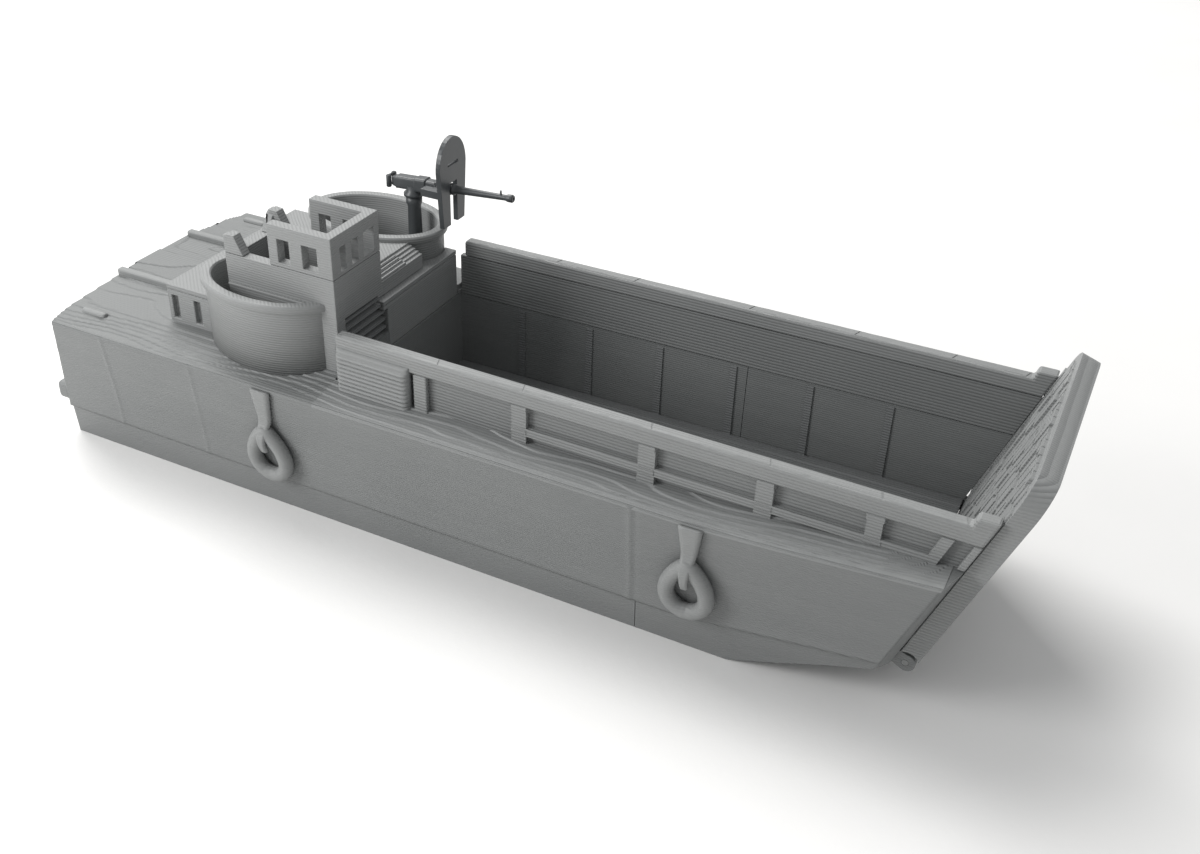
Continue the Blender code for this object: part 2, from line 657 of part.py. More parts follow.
def build_fender(name, side_name, side, centre):
    """A ring fender, pointed a little at its top, and the strap that holds it."""
    x, z = centre
    along, down, up = FENDER_HALF
    curve = bpy.data.curves.new(f"fender_{name}_{side_name}", "CURVE")
    curve.dimensions = "3D"
    curve.bevel_depth = FENDER_TUBE * MM
    curve.bevel_resolution = 2
    spline = curve.splines.new("POLY")
    count = 28
    spline.points.add(count - 1)
    for i, point in enumerate(spline.points):
        turn = 2 * math.pi * i / count
        high = math.sin(turn)
        px = x + along * (1.0 - FENDER_PINCH * max(0.0, high) ** 2) * math.cos(turn)
        pz = z + (up if high > 0 else down) * high
        out = side_half(px, pz) + 1.02 * FENDER_TUBE + GAP
        spot = place(px, side * out, pz)
        point.co = (*spot, 1.0)
    spline.use_cyclic_u = True
    mesh = mesh_of_curve(f"fender_{name}_{side_name}", curve, Matrix.Identity(4))
    add_object(f"fender_{name}_{side_name}", mesh)

    ring_top = z + up + FENDER_TUBE + GAP
    wide, thin = STRAP_HALF
    outline = [(x - wide, STRAP_TOP), (x - thin, ring_top), (x + thin, ring_top), (x + wide, STRAP_TOP)]
    strap = prism(f"fender_strap_{name}_{side_name}", outline, "Y",
                  (side * BOTTOM_HALF, side * (DECK_HALF + 2 * FENDER_TUBE)))
    hull_low = side_half(x, ring_top) + GAP
    hull_high = side_half(x, STRAP_TOP) + GAP
    section = [(hull_low, ring_top), (hull_low + STRAP_THICK, ring_top),
               (hull_high + STRAP_THICK, STRAP_TOP), (hull_high, STRAP_TOP)]
    section = [(side * y, z) for y, z in section]
    slab = prism(f"strap_slab_{name}_{side_name}", section, "X", (x - 3.0, x + 3.0))
    boolean(strap, "INTERSECT", slab)


# ---------------------------------------------------------------- ramp and gun

def ramp_point(along, out):
    """A point of the ramp's side view: along it from the hinge, and out from its middle plane."""
    return (HINGE_X + along * math.sin(RAMP_LEAN) + out * math.cos(RAMP_LEAN),
            HINGE_Z + along * math.cos(RAMP_LEAN) - out * math.sin(RAMP_LEAN))


def hinge_parent(name, x, y, z, children):
    """An empty on a joint's axis that carries the moving pieces, whose origins lie there too."""
    empty = bpy.data.objects.new(name, None)
    CRAFT.objects.link(empty)
    empty.location = place(x, y, z)
    for child in children:
        child.data.transform(Matrix.Translation(-empty.location))
        child.parent = empty


def build_ramp():
    half = RAMP_THICK / 2
    turns = [math.pi * i / 12 for i in range(13)]
    foot = [ramp_point(-half * math.sin(t), half * math.cos(t)) for t in turns]
    outline = [ramp_point(RAMP_LENGTH, half)] + foot + [ramp_point(RAMP_LENGTH, -half)]
    ramp = prism("bow_ramp", outline, "Y", (-RAMP_HALF, RAMP_HALF))
    bore = rod("ramp_bore", PIN_BORE, (HINGE_X, -CLEAR_OF_ALL, HINGE_Z), (HINGE_X, CLEAR_OF_ALL, HINGE_Z))
    boolean(ramp, "DIFFERENCE", bore)
    radius, start = NOTCH
    for name, side in SIDES.items():
        notch = rod("ramp_notch_" + name, radius, (HINGE_X, side * start, HINGE_Z),
                    (HINGE_X, side * CLEAR_OF_ALL, HINGE_Z), 32)
        boolean(ramp, "DIFFERENCE", notch)
        boolean(ramp, "DIFFERENCE", corner_cutter("ramp_corner_" + name, side))
    hinge_parent("ramp_hinge", HINGE_X, 0, HINGE_Z, [ramp])
    reach = LUG_Y[1]
    rod("ramp_hinge_pin", PIN_RADIUS, (HINGE_X, -reach, HINGE_Z), (HINGE_X, reach, HINGE_Z))


def corner_cutter(name, side):
    """What rounds one top corner of the ramp: a block beyond the corner less a round bar."""
    inner = side * (RAMP_HALF - RAMP_CORNER)
    outer = side * (RAMP_HALF + 2.0)
    low = RAMP_LENGTH - RAMP_CORNER
    block_outline = [ramp_point(low, 4), ramp_point(low, -4), ramp_point(low + 8, -4),
                     ramp_point(low + 8, 4)]
    block = prism(name, block_outline, "Y", (inner, outer))
    start = ramp_point(low, 6)
    end = ramp_point(low, -6)
    bar = rod(name + "_bar", RAMP_CORNER, (start[0], inner, start[1]), (end[0], inner, end[1]), 48)
    boolean(block, "DIFFERENCE", bar)
    return block


def build_gun():
    dark = {"colour": DARK_GREY, "roughness": 0.45}
    pedestal = rod("gun_pedestal", 1.3, (GUN_X, GUN_Y, TUB_FLOOR + GAP),
                   (GUN_X, GUN_Y, PEDESTAL_TOP), **dark)
    foot = rod("gun_pedestal_foot", 2.4, (GUN_X, GUN_Y, TUB_FLOOR + GAP),
               (GUN_X, GUN_Y, TUB_FLOOR + 1.2), **dark)
    boolean(pedestal, "UNION", foot)

    def on_axis(x):
        return GUN_Z + (x - GUN_X) * math.tan(GUN_RAISE)

    body = box("deck_gun", (GUN_X - 3.4, GUN_X + 4.4), (GUN_Y - 0.9, GUN_Y + 0.9),
               (GUN_Z - 1.0, GUN_Z + 1.1), **dark)
    cradle = rod("gun_cradle", 1.6, (GUN_X, GUN_Y, PEDESTAL_TOP + GAP), (GUN_X, GUN_Y, GUN_Z - 0.5))
    boolean(body, "UNION", cradle)
    barrel = rod("gun_barrel", BARREL[0], (GUN_X, GUN_Y, on_axis(GUN_X)),
                 (BARREL_END, GUN_Y, on_axis(BARREL_END)), 16, BARREL[1])
    boolean(body, "UNION", barrel)

    shield = prism("gun_shield", shield_outline(), "X",
                   (SHIELD_X - SHIELD_THICK / 2, SHIELD_X + SHIELD_THICK / 2), **dark)
    slot = box("shield_slot", (SHIELD_X - 5, SHIELD_X + 5), (GUN_Y - 1.0, GUN_Y + 1.0),
               (SHIELD_BOTTOM - 2, GUN_Z + 1.8))
    boolean(shield, "DIFFERENCE", slot)
    arm = box("shield_arm", (GUN_X + 3.0, SHIELD_X - SHIELD_THICK / 2 + 0.2),
              (GUN_Y - 2.6, GUN_Y - 1.0), (GUN_Z - 0.6, GUN_Z + 0.6))
    boolean(shield, "UNION", arm)
    hinge_parent("gun_swivel", GUN_X, GUN_Y, GUN_Z, [body, shield])


def shield_outline():
    """Front view of the shield: straight sides under a round head."""
    head = SHIELD_TOP - SHIELD_HALF * 1.25
    turns = [math.pi * i / 20 for i in range(21)]
    arc = [(GUN_Y + SHIELD_HALF * math.cos(t), head + SHIELD_HALF * 1.25 * math.sin(t)) for t in turns]
    return [(GUN_Y - SHIELD_HALF * 0.8, SHIELD_BOTTOM), (GUN_Y + SHIELD_HALF * 0.8, SHIELD_BOTTOM)] + arc


def main():
    build_hull_aft()
    build_hull_bow()
    build_transom_ledge()
    build_cargo_floor()
    build_casing()
    build_pilothouse()
    build_grille()
    for name, side in SIDES.items():
        build_bulwark(name, side)
        build_tub(name, side)
        build_deck_strip(name, side)
        build_cleat(name, side)
        for which, centre in FENDERS.items():
            build_fender(which, name, side, centre)
    build_ramp()
    build_gun()


main()
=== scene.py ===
"""Looks of a printed table model of a military landing craft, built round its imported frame.

Stations run forward from the transom's deck edge, in millimetres, and the frame has +X towards the
bow, +Y to port and +Z up. Each sub-assembly is a class that builds its pieces and dresses them.
"""
import logging
import math
from dataclasses import dataclass
from enum import Enum

import bmesh
import bpy
import numpy as np
from mathutils import Matrix, Vector


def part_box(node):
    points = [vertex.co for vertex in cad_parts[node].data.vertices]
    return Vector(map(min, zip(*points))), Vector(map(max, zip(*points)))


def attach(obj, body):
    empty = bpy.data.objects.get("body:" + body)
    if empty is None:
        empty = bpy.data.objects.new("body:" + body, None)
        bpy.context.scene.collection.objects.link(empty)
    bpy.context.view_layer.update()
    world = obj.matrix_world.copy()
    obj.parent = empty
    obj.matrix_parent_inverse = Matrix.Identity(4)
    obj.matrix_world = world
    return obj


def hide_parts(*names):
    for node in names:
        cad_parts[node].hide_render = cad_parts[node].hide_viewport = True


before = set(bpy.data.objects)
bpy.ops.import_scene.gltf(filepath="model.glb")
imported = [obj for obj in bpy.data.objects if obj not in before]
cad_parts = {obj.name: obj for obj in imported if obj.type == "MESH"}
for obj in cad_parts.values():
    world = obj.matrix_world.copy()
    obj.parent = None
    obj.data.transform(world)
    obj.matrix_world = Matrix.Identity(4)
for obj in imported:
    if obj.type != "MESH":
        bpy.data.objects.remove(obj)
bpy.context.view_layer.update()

log = logging.getLogger("landing_craft")
MM = 0.001
TRANSOM = -2.4
RAKE_Z = (9.0, 22.0, 24.0)
RAKE_X = (TRANSOM, -0.6, -0.32)
FULL_TURN = 2 * math.pi
ORIGIN_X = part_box("hull_aft")[0].x - TRANSOM * MM


class Side(Enum):
    """The two hands of the craft, with the sign of their breadth."""

    STARBOARD = -1
    PORT = 1

    @property
    def tag(self) -> str:
        """The side's name as the nodes spell it."""
        return self.name.lower()


class Body(Enum):
    """The bodies that pieces ride on."""

    CRAFT = "craft"
    RAMP = "ramp"
    GUN = "gun"


class Slot(Enum):
    """The record's material slots."""

    PRINT = "grey_print"
    RESIN = "dark_resin"


# ------------------------------------------------------------------ mesh helpers

def place(x: np.ndarray, y: np.ndarray, z: np.ndarray) -> np.ndarray:
    """Points in metres from stations, breadths and heights in millimetres.

    Args:
        x: Stations.
        y: Breadths, positive to port.
        z: Heights.

    Returns:
        An array with one more axis than the inputs, of length three.
    """
    x, y, z = np.broadcast_arrays(x, y, z)
    return np.stack([x * MM + ORIGIN_X, y * MM, z * MM], axis=-1)


def linked(name: str, data: bpy.types.ID) -> bpy.types.Object:
    """A new object in the scene that holds a mesh, a light or a camera."""
    obj = bpy.data.objects.new(name, data)
    bpy.context.scene.collection.objects.link(obj)
    return obj


def piece_of(name: str, points: np.ndarray, faces: list[np.ndarray], smooth: bool) -> bpy.types.Object:
    """Makes one closed mesh object.

    Args:
        name: The piece's name.
        points: All vertices, one row each.
        faces: Arrays of vertex indices, each with one row per face.
        smooth: Whether its faces are shaded smooth.

    Returns:
        The object, at the origin, with its faces turned outwards.
    """
    mesh = bpy.data.meshes.new(name)
    sizes = np.concatenate([np.full(len(f), f.shape[1]) for f in faces])
    corners = np.concatenate([f.reshape(-1) for f in faces])
    mesh.vertices.add(len(points))
    mesh.vertices.foreach_set("co", np.ascontiguousarray(points, np.float32).reshape(-1))
    mesh.loops.add(len(corners))
    mesh.loops.foreach_set("vertex_index", corners.astype(np.int32))
    mesh.polygons.add(len(sizes))
    mesh.polygons.foreach_set("loop_start", np.concatenate([[0], np.cumsum(sizes)[:-1]]).astype(np.int32))
    mesh.update(calc_edges=True)
    mesh.validate()
    shape = bmesh.new()
    shape.from_mesh(mesh)
    bmesh.ops.remove_doubles(shape, verts=shape.verts, dist=1e-7)
    bmesh.ops.recalc_face_normals(shape, faces=shape.faces)
    shape.to_mesh(mesh)
    shape.free()
    mesh.polygons.foreach_set("use_smooth", np.full(len(mesh.polygons), smooth))
    return linked(name, mesh)


def grid_faces(index: np.ndarray) -> np.ndarray:
    """Four-sided faces between neighbouring rows and columns of an index grid."""
    return np.stack([index[:-1, :-1], index[1:, :-1], index[1:, 1:], index[:-1, 1:]], -1).reshape(-1, 4)


def slab(name: str, top: np.ndarray, bottom: np.ndarray, smooth: bool = False) -> bpy.types.Object:
    """A closed plate between two grids of points, with its rim joined up.

    Args:
        name: The piece's name.
        top: The outer surface, rows by columns by three.
        bottom: The inner surface, of the same shape.
        smooth: Whether its faces are shaded smooth.

    Returns:
        The plate as an object.
    """
    rows, columns = top.shape[:2]
    index = np.arange(rows * columns).reshape(rows, columns)
    rim = np.concatenate([index[0, :-1], index[:-1, -1], index[-1, :0:-1], index[:0:-1, 0]])
    ahead = np.roll(rim, -1)
    under = rows * columns
    sides = np.stack([rim, rim + under, ahead + under, ahead], -1)
    points = np.concatenate([top.reshape(-1, 3), bottom.reshape(-1, 3)])
    return piece_of(name, points, [grid_faces(index), grid_faces(index)[:, ::-1] + under, sides], smooth)


def loft(name: str, rings: np.ndarray, closed: bool, smooth: bool = True) -> bpy.types.Object:
    """A solid through rings of points, joined end to end or capped with a fan.

    Args:
        name: The piece's name.
        rings: Rings by points by three.
        closed: Whether the last ring joins the first.
        smooth: Whether its faces are shaded smooth.

    Returns:
        The solid as an object.
    """
    count, around = rings.shape[:2]
    index = np.arange(count * around).reshape(count, around)
    wrapped = np.concatenate([index, index[:, :1]], 1)
    points = rings.reshape(-1, 3)
    if closed:
        faces = [grid_faces(np.concatenate([wrapped, wrapped[:1]], 0))]
    else:
        ends = np.stack([rings[0].mean(0), rings[-1].mean(0)])
        points = np.concatenate([points, ends])
        fans = [np.stack([wrapped[row, :-1], wrapped[row, 1:], np.full(around, count * around + end)], -1)
                for end, row in enumerate((0, -1))]
        faces = [grid_faces(wrapped)] + fans
    return piece_of(name, points, faces, smooth)


def softened(node: str, width: float, segments: int = 2) -> bpy.types.Object:
    """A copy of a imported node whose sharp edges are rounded, which stands for it.

    Args:
        node: The node's name.
        width: The rounding's width in millimetres.
        segments: Facets across each rounded edge.

    Returns:
        The copy, which replaces the node.
    """
    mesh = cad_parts[node].data.copy()
    mesh.materials.clear()
    shape = bmesh.new()
    shape.from_mesh(mesh)
    bmesh.ops.remove_doubles(shape, verts=shape.verts, dist=2e-6)
    bmesh.ops.dissolve_limit(shape, angle_limit=math.radians(1.0), verts=shape.verts, edges=shape.edges)
    shape.to_mesh(mesh)
    shape.free()
    obj = linked(node + "_piece", mesh)
    edge = obj.modifiers.new("edges", "BEVEL")
    edge.width = width * MM
    edge.segments = segments
    edge.limit_method = "ANGLE"
    edge.angle_limit = math.radians(35.0)
    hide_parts(node)
    return obj


def joined(name: str, parts: list[bpy.types.Object]) -> bpy.types.Object:
    """Several meshes of one piece as a single object.

    Args:
        name: The piece's name.
        parts: Objects at the origin, which are used up.

    Returns:
        The one object.
    """
    shape = bmesh.new()
    for part in parts:
        shape.from_mesh(part.data)
        bpy.data.objects.remove(part, do_unlink=True)
    mesh = bpy.data.meshes.new(name)
    shape.to_mesh(mesh)
    shape.free()
    return linked(name, mesh)


def blocks(name: str, centres: np.ndarray, halves: np.ndarray, axes: np.ndarray,
           inset: float) -> bpy.types.Object:
    """Many small blocks with chamfered tops, as one mesh.

    Each block is eight corners out from its centre along three axes, with the four upper ones
    drawn in.

    Args:
        name: The piece's name.
        centres: Block centres in metres, one row each.
        halves: Half sizes along the three axes in metres, one row each.
        axes: The three directions, one row each, the third of which is up.
        inset: How far the upper corners are drawn in, in metres.

    Returns:
        The blocks as one object.
    """
    signs = np.array([(a, b, c) for c in (-1, 1) for a, b in ((-1, -1), (1, -1), (1, 1), (-1, 1))], float)
    reach = halves[:, None, :] * signs[None]
    reach[:, 4:, :2] -= inset * signs[None, 4:, :2]
    points = centres[:, None, :] + reach @ axes
    quads = np.array([(0, 3, 2, 1), (4, 5, 6, 7), (0, 1, 5, 4), (1, 2, 6, 5), (2, 3, 7, 6), (3, 0, 4, 7)])
    faces = (quads[None] + 8 * np.arange(len(centres))[:, None, None]).reshape(-1, 4)
    return piece_of(name, points.reshape(-1, 3), [faces], smooth=False)


def applied(obj: bpy.types.Object) -> None:
    """Works a piece's modifiers into its mesh."""
    bpy.context.view_layer.update()
    graph = bpy.context.evaluated_depsgraph_get()
    mesh = bpy.data.meshes.new_from_object(obj.evaluated_get(graph))
    obj.modifiers.clear()
    obj.data = mesh


def wander(u: np.ndarray, v: np.ndarray, length: float, seed: int) -> np.ndarray:
    """A smooth field between about -1 and 1: the mean of seven sine waves in seeded directions.

    Args:
        u: First coordinate, in millimetres.
        v: Second coordinate, in millimetres.
        length: The longest wave's length in millimetres.
        seed: Chooses the directions and phases.

    Returns:
        The field at every point.
    """
    draw = np.random.default_rng(seed)
    waves = 7
    turn = draw.uniform(0, 2 * math.pi, waves)
    phase = draw.uniform(0, 2 * math.pi, waves)
    rate = 2 * math.pi / (length * draw.uniform(0.35, 1.0, waves))
    total = sum(np.sin(rate[i] * (u * math.cos(turn[i]) + v * math.sin(turn[i])) + phase[i])
                for i in range(waves))
    return total / waves * 1.6


def terraced(height: np.ndarray, layer: float, soft: float) -> np.ndarray:
    """Heights rounded down to whole layers, with a soft rise over the last share of each.

    Args:
        height: The smooth heights.
        layer: One layer's thickness.
        soft: The share of a layer over which it rises to the next.

    Returns:
        The stepped heights.
    """
    whole = np.floor(height / layer)
    part = np.clip((height / layer - whole - (1.0 - soft)) / soft, 0.0, 1.0)
    return (whole + part * part * (3.0 - 2.0 * part)) * layer


# ------------------------------------------------------------------ shaders

class Wire:
    """A shader socket that can be added to, taken from, multiplied and compared."""

    def __init__(self, graph: "Graph", socket: bpy.types.NodeSocket) -> None:
        """Keeps the socket and the graph that it belongs to."""
        self.graph = graph
        self.socket = socket

    def _math(self, operation: str, first: "Wire | float", second: "Wire | float") -> "Wire":
        """The result of one Math node on two values."""
        node = self.graph.node("ShaderNodeMath", {"operation": operation}, {0: first, 1: second})
        return Wire(self.graph, node.outputs[0])

    def __add__(self, other: "Wire | float") -> "Wire":
        """This value and the other."""
        return self._math("ADD", self, other)

    __radd__ = __add__

    def __sub__(self, other: "Wire | float") -> "Wire":
        """This value less the other."""
        return self._math("SUBTRACT", self, other)

    def __rsub__(self, other: "Wire | float") -> "Wire":
        """The other value less this."""
        return self._math("SUBTRACT", other, self)

    def __mul__(self, other: "Wire | float") -> "Wire":
        """This value times the other."""
        return self._math("MULTIPLY", self, other)

    __rmul__ = __mul__

    def __gt__(self, other: "Wire | float") -> "Wire":
        """One where this value is the greater, and nought elsewhere."""
        return self._math("GREATER_THAN", self, other)

    def sine(self) -> "Wire":
        """The sine of this value."""
        return self._math("SINE", self, 0.0)

    def absolute(self) -> "Wire":
        """This value without its sign."""
        return self._math("ABSOLUTE", self, 0.0)


class Graph:
    """A material's node tree, built one node at a time."""

    def __init__(self, name: str) -> None:
        """Starts an empty tree with a shader joined to the output."""
        self.material = bpy.data.materials.new(name)
        self.material.use_nodes = True
        self.tree = self.material.node_tree
        self.tree.nodes.clear()
        self.shader = self.node("ShaderNodeBsdfPrincipled", {}, {})
        self.node("ShaderNodeOutputMaterial", {}, {"Surface": Wire(self, self.shader.outputs[0])})
        place_node = self.node("ShaderNodeTexCoord", {}, {})
        self.place = Wire(self, place_node.outputs["Object"])

    def node(self, kind: str, settings: dict, inputs: dict) -> bpy.types.Node:
        """Adds a node, sets it, and then fills its sockets.

        Args:
            kind: The node's type.
            settings: Its properties.
            inputs: Values or wires by socket name or number.

        Returns:
            The node.
        """
        node = self.tree.nodes.new(kind)
        for key, value in settings.items():
            setattr(node, key, value)
        for key, value in inputs.items():
            self.feed(node.inputs[key], value)
        return node

    def feed(self, socket: bpy.types.NodeSocket, value: "Wire | float | tuple") -> None:
        """Links a wire to a socket, or sets the socket's own value."""
        if isinstance(value, Wire):
            self.tree.links.new(value.socket, socket)
        else:
            socket.default_value = value

    def axes(self) -> tuple[Wire, Wire, Wire]:
        """The three object coordinates as single values."""
        parts = self.node("ShaderNodeSeparateXYZ", {}, {0: self.place})
        return tuple(Wire(self, socket) for socket in parts.outputs)

    def noise(self, size: float, stretch: tuple[float, float, float], detail: float) -> Wire:
        """A noise from 0 to 1.

        Args:
            size: The blotches' size in millimetres.
            stretch: How much closer the blotches lie along each axis.
            detail: Octaves of finer noise.

        Returns:
            The noise's value.
        """
        turned = self.node("ShaderNodeMapping", {}, {"Vector": self.place, "Scale": stretch})
        node = self.node("ShaderNodeTexNoise", {}, {"Vector": Wire(self, turned.outputs[0]),
                                                    "Scale": 1.0 / (size * MM), "Detail": detail})
        return Wire(self, node.outputs[0])

    def blend(self, factor: Wire, dark: tuple, light: tuple) -> Wire:
        """A colour between two, by a factor."""
        node = self.node("ShaderNodeMix", {"data_type": "RGBA"},
                         {0: factor, 6: (*dark, 1.0), 7: (*light, 1.0)})
        return Wire(self, node.outputs[2])

    def upward(self) -> Wire:
        """One on faces that look up, and nought elsewhere."""
        facing = self.node("ShaderNodeNewGeometry", {}, {})
        parts = self.node("ShaderNodeSeparateXYZ", {}, {0: Wire(self, facing.outputs["Normal"])})
        return Wire(self, parts.outputs[2]) > 0.9

    def bump(self, height: Wire, depth: float) -> None:
        """Raises the surface by a height of 0 to 1 times a depth in millimetres."""
        node = self.node("ShaderNodeBump", {}, {"Height": height, "Distance": depth * MM, "Strength": 1.0})
        self.feed(self.shader.inputs["Normal"], Wire(self, node.outputs[0]))


@dataclass(frozen=True)
class PrintedPlastic:
    """Matt grey filament laid in thin layers: ridged walls, raster lines on top, uneven tone."""

    name: str
    dark: tuple[float, float, float] = (0.154, 0.160, 0.160)
    light: tuple[float, float, float] = (0.206, 0.212, 0.210)
    layer: float = 0.36
    ridge: float = 0.055
    raster: float = 0.5
    raster_turn: float = 0.0
    hatch: float = 0.22
    rough: float = 0.52

    def make(self) -> bpy.types.Material:
        """Builds the material: ridges by height, raster lines by breadth where the face looks up."""
        g = Graph(self.name)
        x, y, z = g.axes()
        wave = (z * (math.pi / (self.layer * MM)) + g.noise(9.0, (1, 1, 1), 1.0) * 0.7).sine().absolute()
        streak = g.noise(9.0, (0.3, 0.3, 7.0), 2.0)
        grain = g.noise(0.5, (1, 1, 1), 2.0)
        cos, sin = math.cos(self.raster_turn), math.sin(self.raster_turn)
        across = (y * cos + x * sin) * (2 * math.pi / (self.raster * MM))
        lines = (across + g.noise(3.0, (1, 1, 1), 1.0) * 1.5).sine() * self.hatch * g.upward()
        height = wave * 0.7 + streak * 0.5 + grain * 0.3 + lines
        g.bump(height, self.ridge)
        cloud = g.noise(22.0, (1, 1, 1.6), 3.0)
        tone = cloud * 0.75 + streak * 0.5 + wave * 0.10 - 0.18
        g.feed(g.shader.inputs["Base Color"], g.blend(tone, self.dark, self.light))
        g.feed(g.shader.inputs["Roughness"], streak * 0.16 + grain * 0.08 + (self.rough - 0.12))
        g.shader.inputs["Specular IOR Level"].default_value = 0.42
        return g.material


@dataclass(frozen=True)
class CastResin:
    """Smooth dark grey resin with a slight sheen and faint mould texture."""

    name: str
    dark: tuple[float, float, float] = (0.045, 0.050, 0.053)
    light: tuple[float, float, float] = (0.078, 0.084, 0.088)
    rough: float = 0.36

    def make(self) -> bpy.types.Material:
        """Builds the material: cloudy tone, with grain and shallow dents in the surface."""
        g = Graph(self.name)
        cloud = g.noise(4.0, (1, 1, 1), 4.0)
        grain = g.noise(0.35, (1, 1, 1), 2.0)
        g.bump(cloud * 0.8 + grain * 0.3, 0.04)
        g.feed(g.shader.inputs["Base Color"], g.blend(cloud * 1.3 - 0.15, self.dark, self.light))
        g.feed(g.shader.inputs["Roughness"], cloud * 0.15 + (self.rough - 0.05))
        return g.material


@dataclass(frozen=True)
class PaleTable:
    """A pale table top with a faint mottle."""

    name: str = "pale_table"
    dark: tuple[float, float, float] = (0.80, 0.795, 0.785)
    light: tuple[float, float, float] = (0.875, 0.87, 0.86)

    def make(self) -> bpy.types.Material:
        """Builds the material: a soft mottle in tone, with a fine tooth."""
        g = Graph(self.name)
        g.feed(g.shader.inputs["Base Color"], g.blend(g.noise(60.0, (1, 1, 1), 4.0), self.dark, self.light))
        g.feed(g.shader.inputs["Roughness"], g.noise(12.0, (1, 1, 1), 2.0) * 0.2 + 0.5)
        g.bump(g.noise(1.2, (1, 1, 1), 2.0), 0.02)
        return g.material


class Finish(Enum):
    """Every finish on the craft, each built once; the panel and well finishes are darker tones of the same
    print that stand for painted shade.
    """

    HULL = PrintedPlastic("print_hull")
    DECK = PrintedPlastic("print_deck", (0.205, 0.211, 0.211), (0.262, 0.269, 0.267), raster=0.6)
    RAIL = PrintedPlastic("print_rail", (0.215, 0.221, 0.220), (0.280, 0.286, 0.284), 0.46, 0.10, 0.44)
    HOUSE = PrintedPlastic("print_house", (0.215, 0.221, 0.220), (0.275, 0.281, 0.280), 0.38, 0.06, 0.5, 0.8)
    # The panel finish is a darker tone of the same print: painted shade for the panels set in behind the
    # posts and rails.
    PANEL = PrintedPlastic("print_panel", (0.166, 0.171, 0.171), (0.218, 0.224, 0.222), 0.5, 0.12, 0.44)
    # The well finish is a darker tone of the same print: painted shade for recessed floors, ribs and grille.
    WELL = PrintedPlastic("print_well", (0.150, 0.155, 0.157), (0.205, 0.211, 0.211), 0.44, 0.10, 0.5)
    FITTING = PrintedPlastic("print_fitting", (0.205, 0.211, 0.210), (0.262, 0.268, 0.266), 0.34, 0.04)
    RESIN = CastResin("cast_resin")
    TABLE = PaleTable()

    def material(self) -> bpy.types.Material:
        """The finish's material, made when it is first asked for."""
        made = bpy.data.materials.get(self.value.name)
        return made or self.value.make()


def dress(obj: bpy.types.Object, finish: Finish, body: Body = Body.CRAFT) -> bpy.types.Object:
    """Gives a new piece its finish and its body, and reports it.

    Args:
        obj: The piece.
        finish: Its finish.
        body: The body that it rides on.

    Returns:
        The same piece.
    """
    obj.data.materials.clear()
    obj.data.materials.append(finish.material())
    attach(obj, body.value)
    log.info("%s: %d faces, %s, on %s", obj.name, len(obj.data.polygons), finish.name, body.value)
    return obj


def paint(node: str, finish: Finish) -> None:
    """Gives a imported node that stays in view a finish."""
    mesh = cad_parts[node].data
    mesh.materials.clear()
    mesh.materials.append(finish.material())
    log.info("%s: %s on the packed node", node, finish.name)


# ------------------------------------------------------------------ hull

@dataclass
class HullForm:
    """The hull's lines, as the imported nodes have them, in millimetres."""

    chine_half: float = 21.4
    chine_z: float = 5.4
    deck_half: float = 23.4
    deck_z: float = 22.0
    sheer_from: float = 105.0
    sheer_length: float = 33.0
    sheer_rise: float = 2.3
    chine_sheer: float = 0.13
    hinge_x: float = 133.8
    hinge_z: float = 7.4
    ramp_lean: float = math.radians(19.6)
    behind_ramp: float = 1.6
    lean_from: float = 118.0
    setback: float = 1.3
    rail_aft: float = 49.5
    rail_half: float = 18.5
    rail_spread: float = 1.1 / 89.2
    wall: float = 1.9

    def bow_plane(self, z: np.ndarray) -> np.ndarray:
        """Stations of the slanted bow face at some heights."""
        return (self.hinge_x + (z - self.hinge_z) * math.tan(self.ramp_lean)
                - self.behind_ramp / math.cos(self.ramp_lean))

    def last(self) -> float:
        """Station, at hinge height, where the side ends."""
        return self.bow_plane(self.hinge_z) - self.setback

    def lean(self, x: np.ndarray) -> np.ndarray:
        """How far a section leans forward for each millimetre of height."""
        share = np.clip((x - self.lean_from) / (self.last() - self.lean_from), 0.0, 1.0)
        return math.tan(self.ramp_lean) * share

    def edge(self, x: np.ndarray) -> np.ndarray:
        """Heights of the deck's edge of the sections at some stations."""
        there = x + self.lean(x) * (self.deck_z - self.hinge_z)
        return self.deck_z + self.sheer_rise * np.clip((there - self.sheer_from) / self.sheer_length,
                                                       0.0, None) ** 1.3

    def chine(self, x: np.ndarray) -> np.ndarray:
        """Heights of the chine."""
        return self.chine_z + np.clip(x - self.sheer_from, 0.0, None) * self.chine_sheer

    def rise(self, y: np.ndarray) -> np.ndarray:
        """The deck's rise above its edge at some breadths."""
        return np.interp(np.abs(y), [0.0, 9.0, 17.0, self.deck_half], [1.3, 0.9, 0.15, 0.0])

    def forward(self, x: np.ndarray, z: np.ndarray) -> np.ndarray:
        """True stations of points of leaning sections, kept forward of the raked transom."""
        raked = np.interp(z, RAKE_Z, RAKE_X)
        return np.maximum(x + self.lean(x) * (z - self.hinge_z), raked)

    def side(self, x: np.ndarray, z: np.ndarray) -> np.ndarray:
        """Half breadths of the side above the chine."""
        share = (z - self.chine(x)) / (self.edge(x) - self.chine(x))
        return self.chine_half + (self.deck_half - self.chine_half) * share

    def rail(self, x: np.ndarray) -> np.ndarray:
        """Half breadths of the bulwark rail's outer face."""
        return self.rail_half + (x - self.rail_aft) * self.rail_spread


FORM = HullForm()


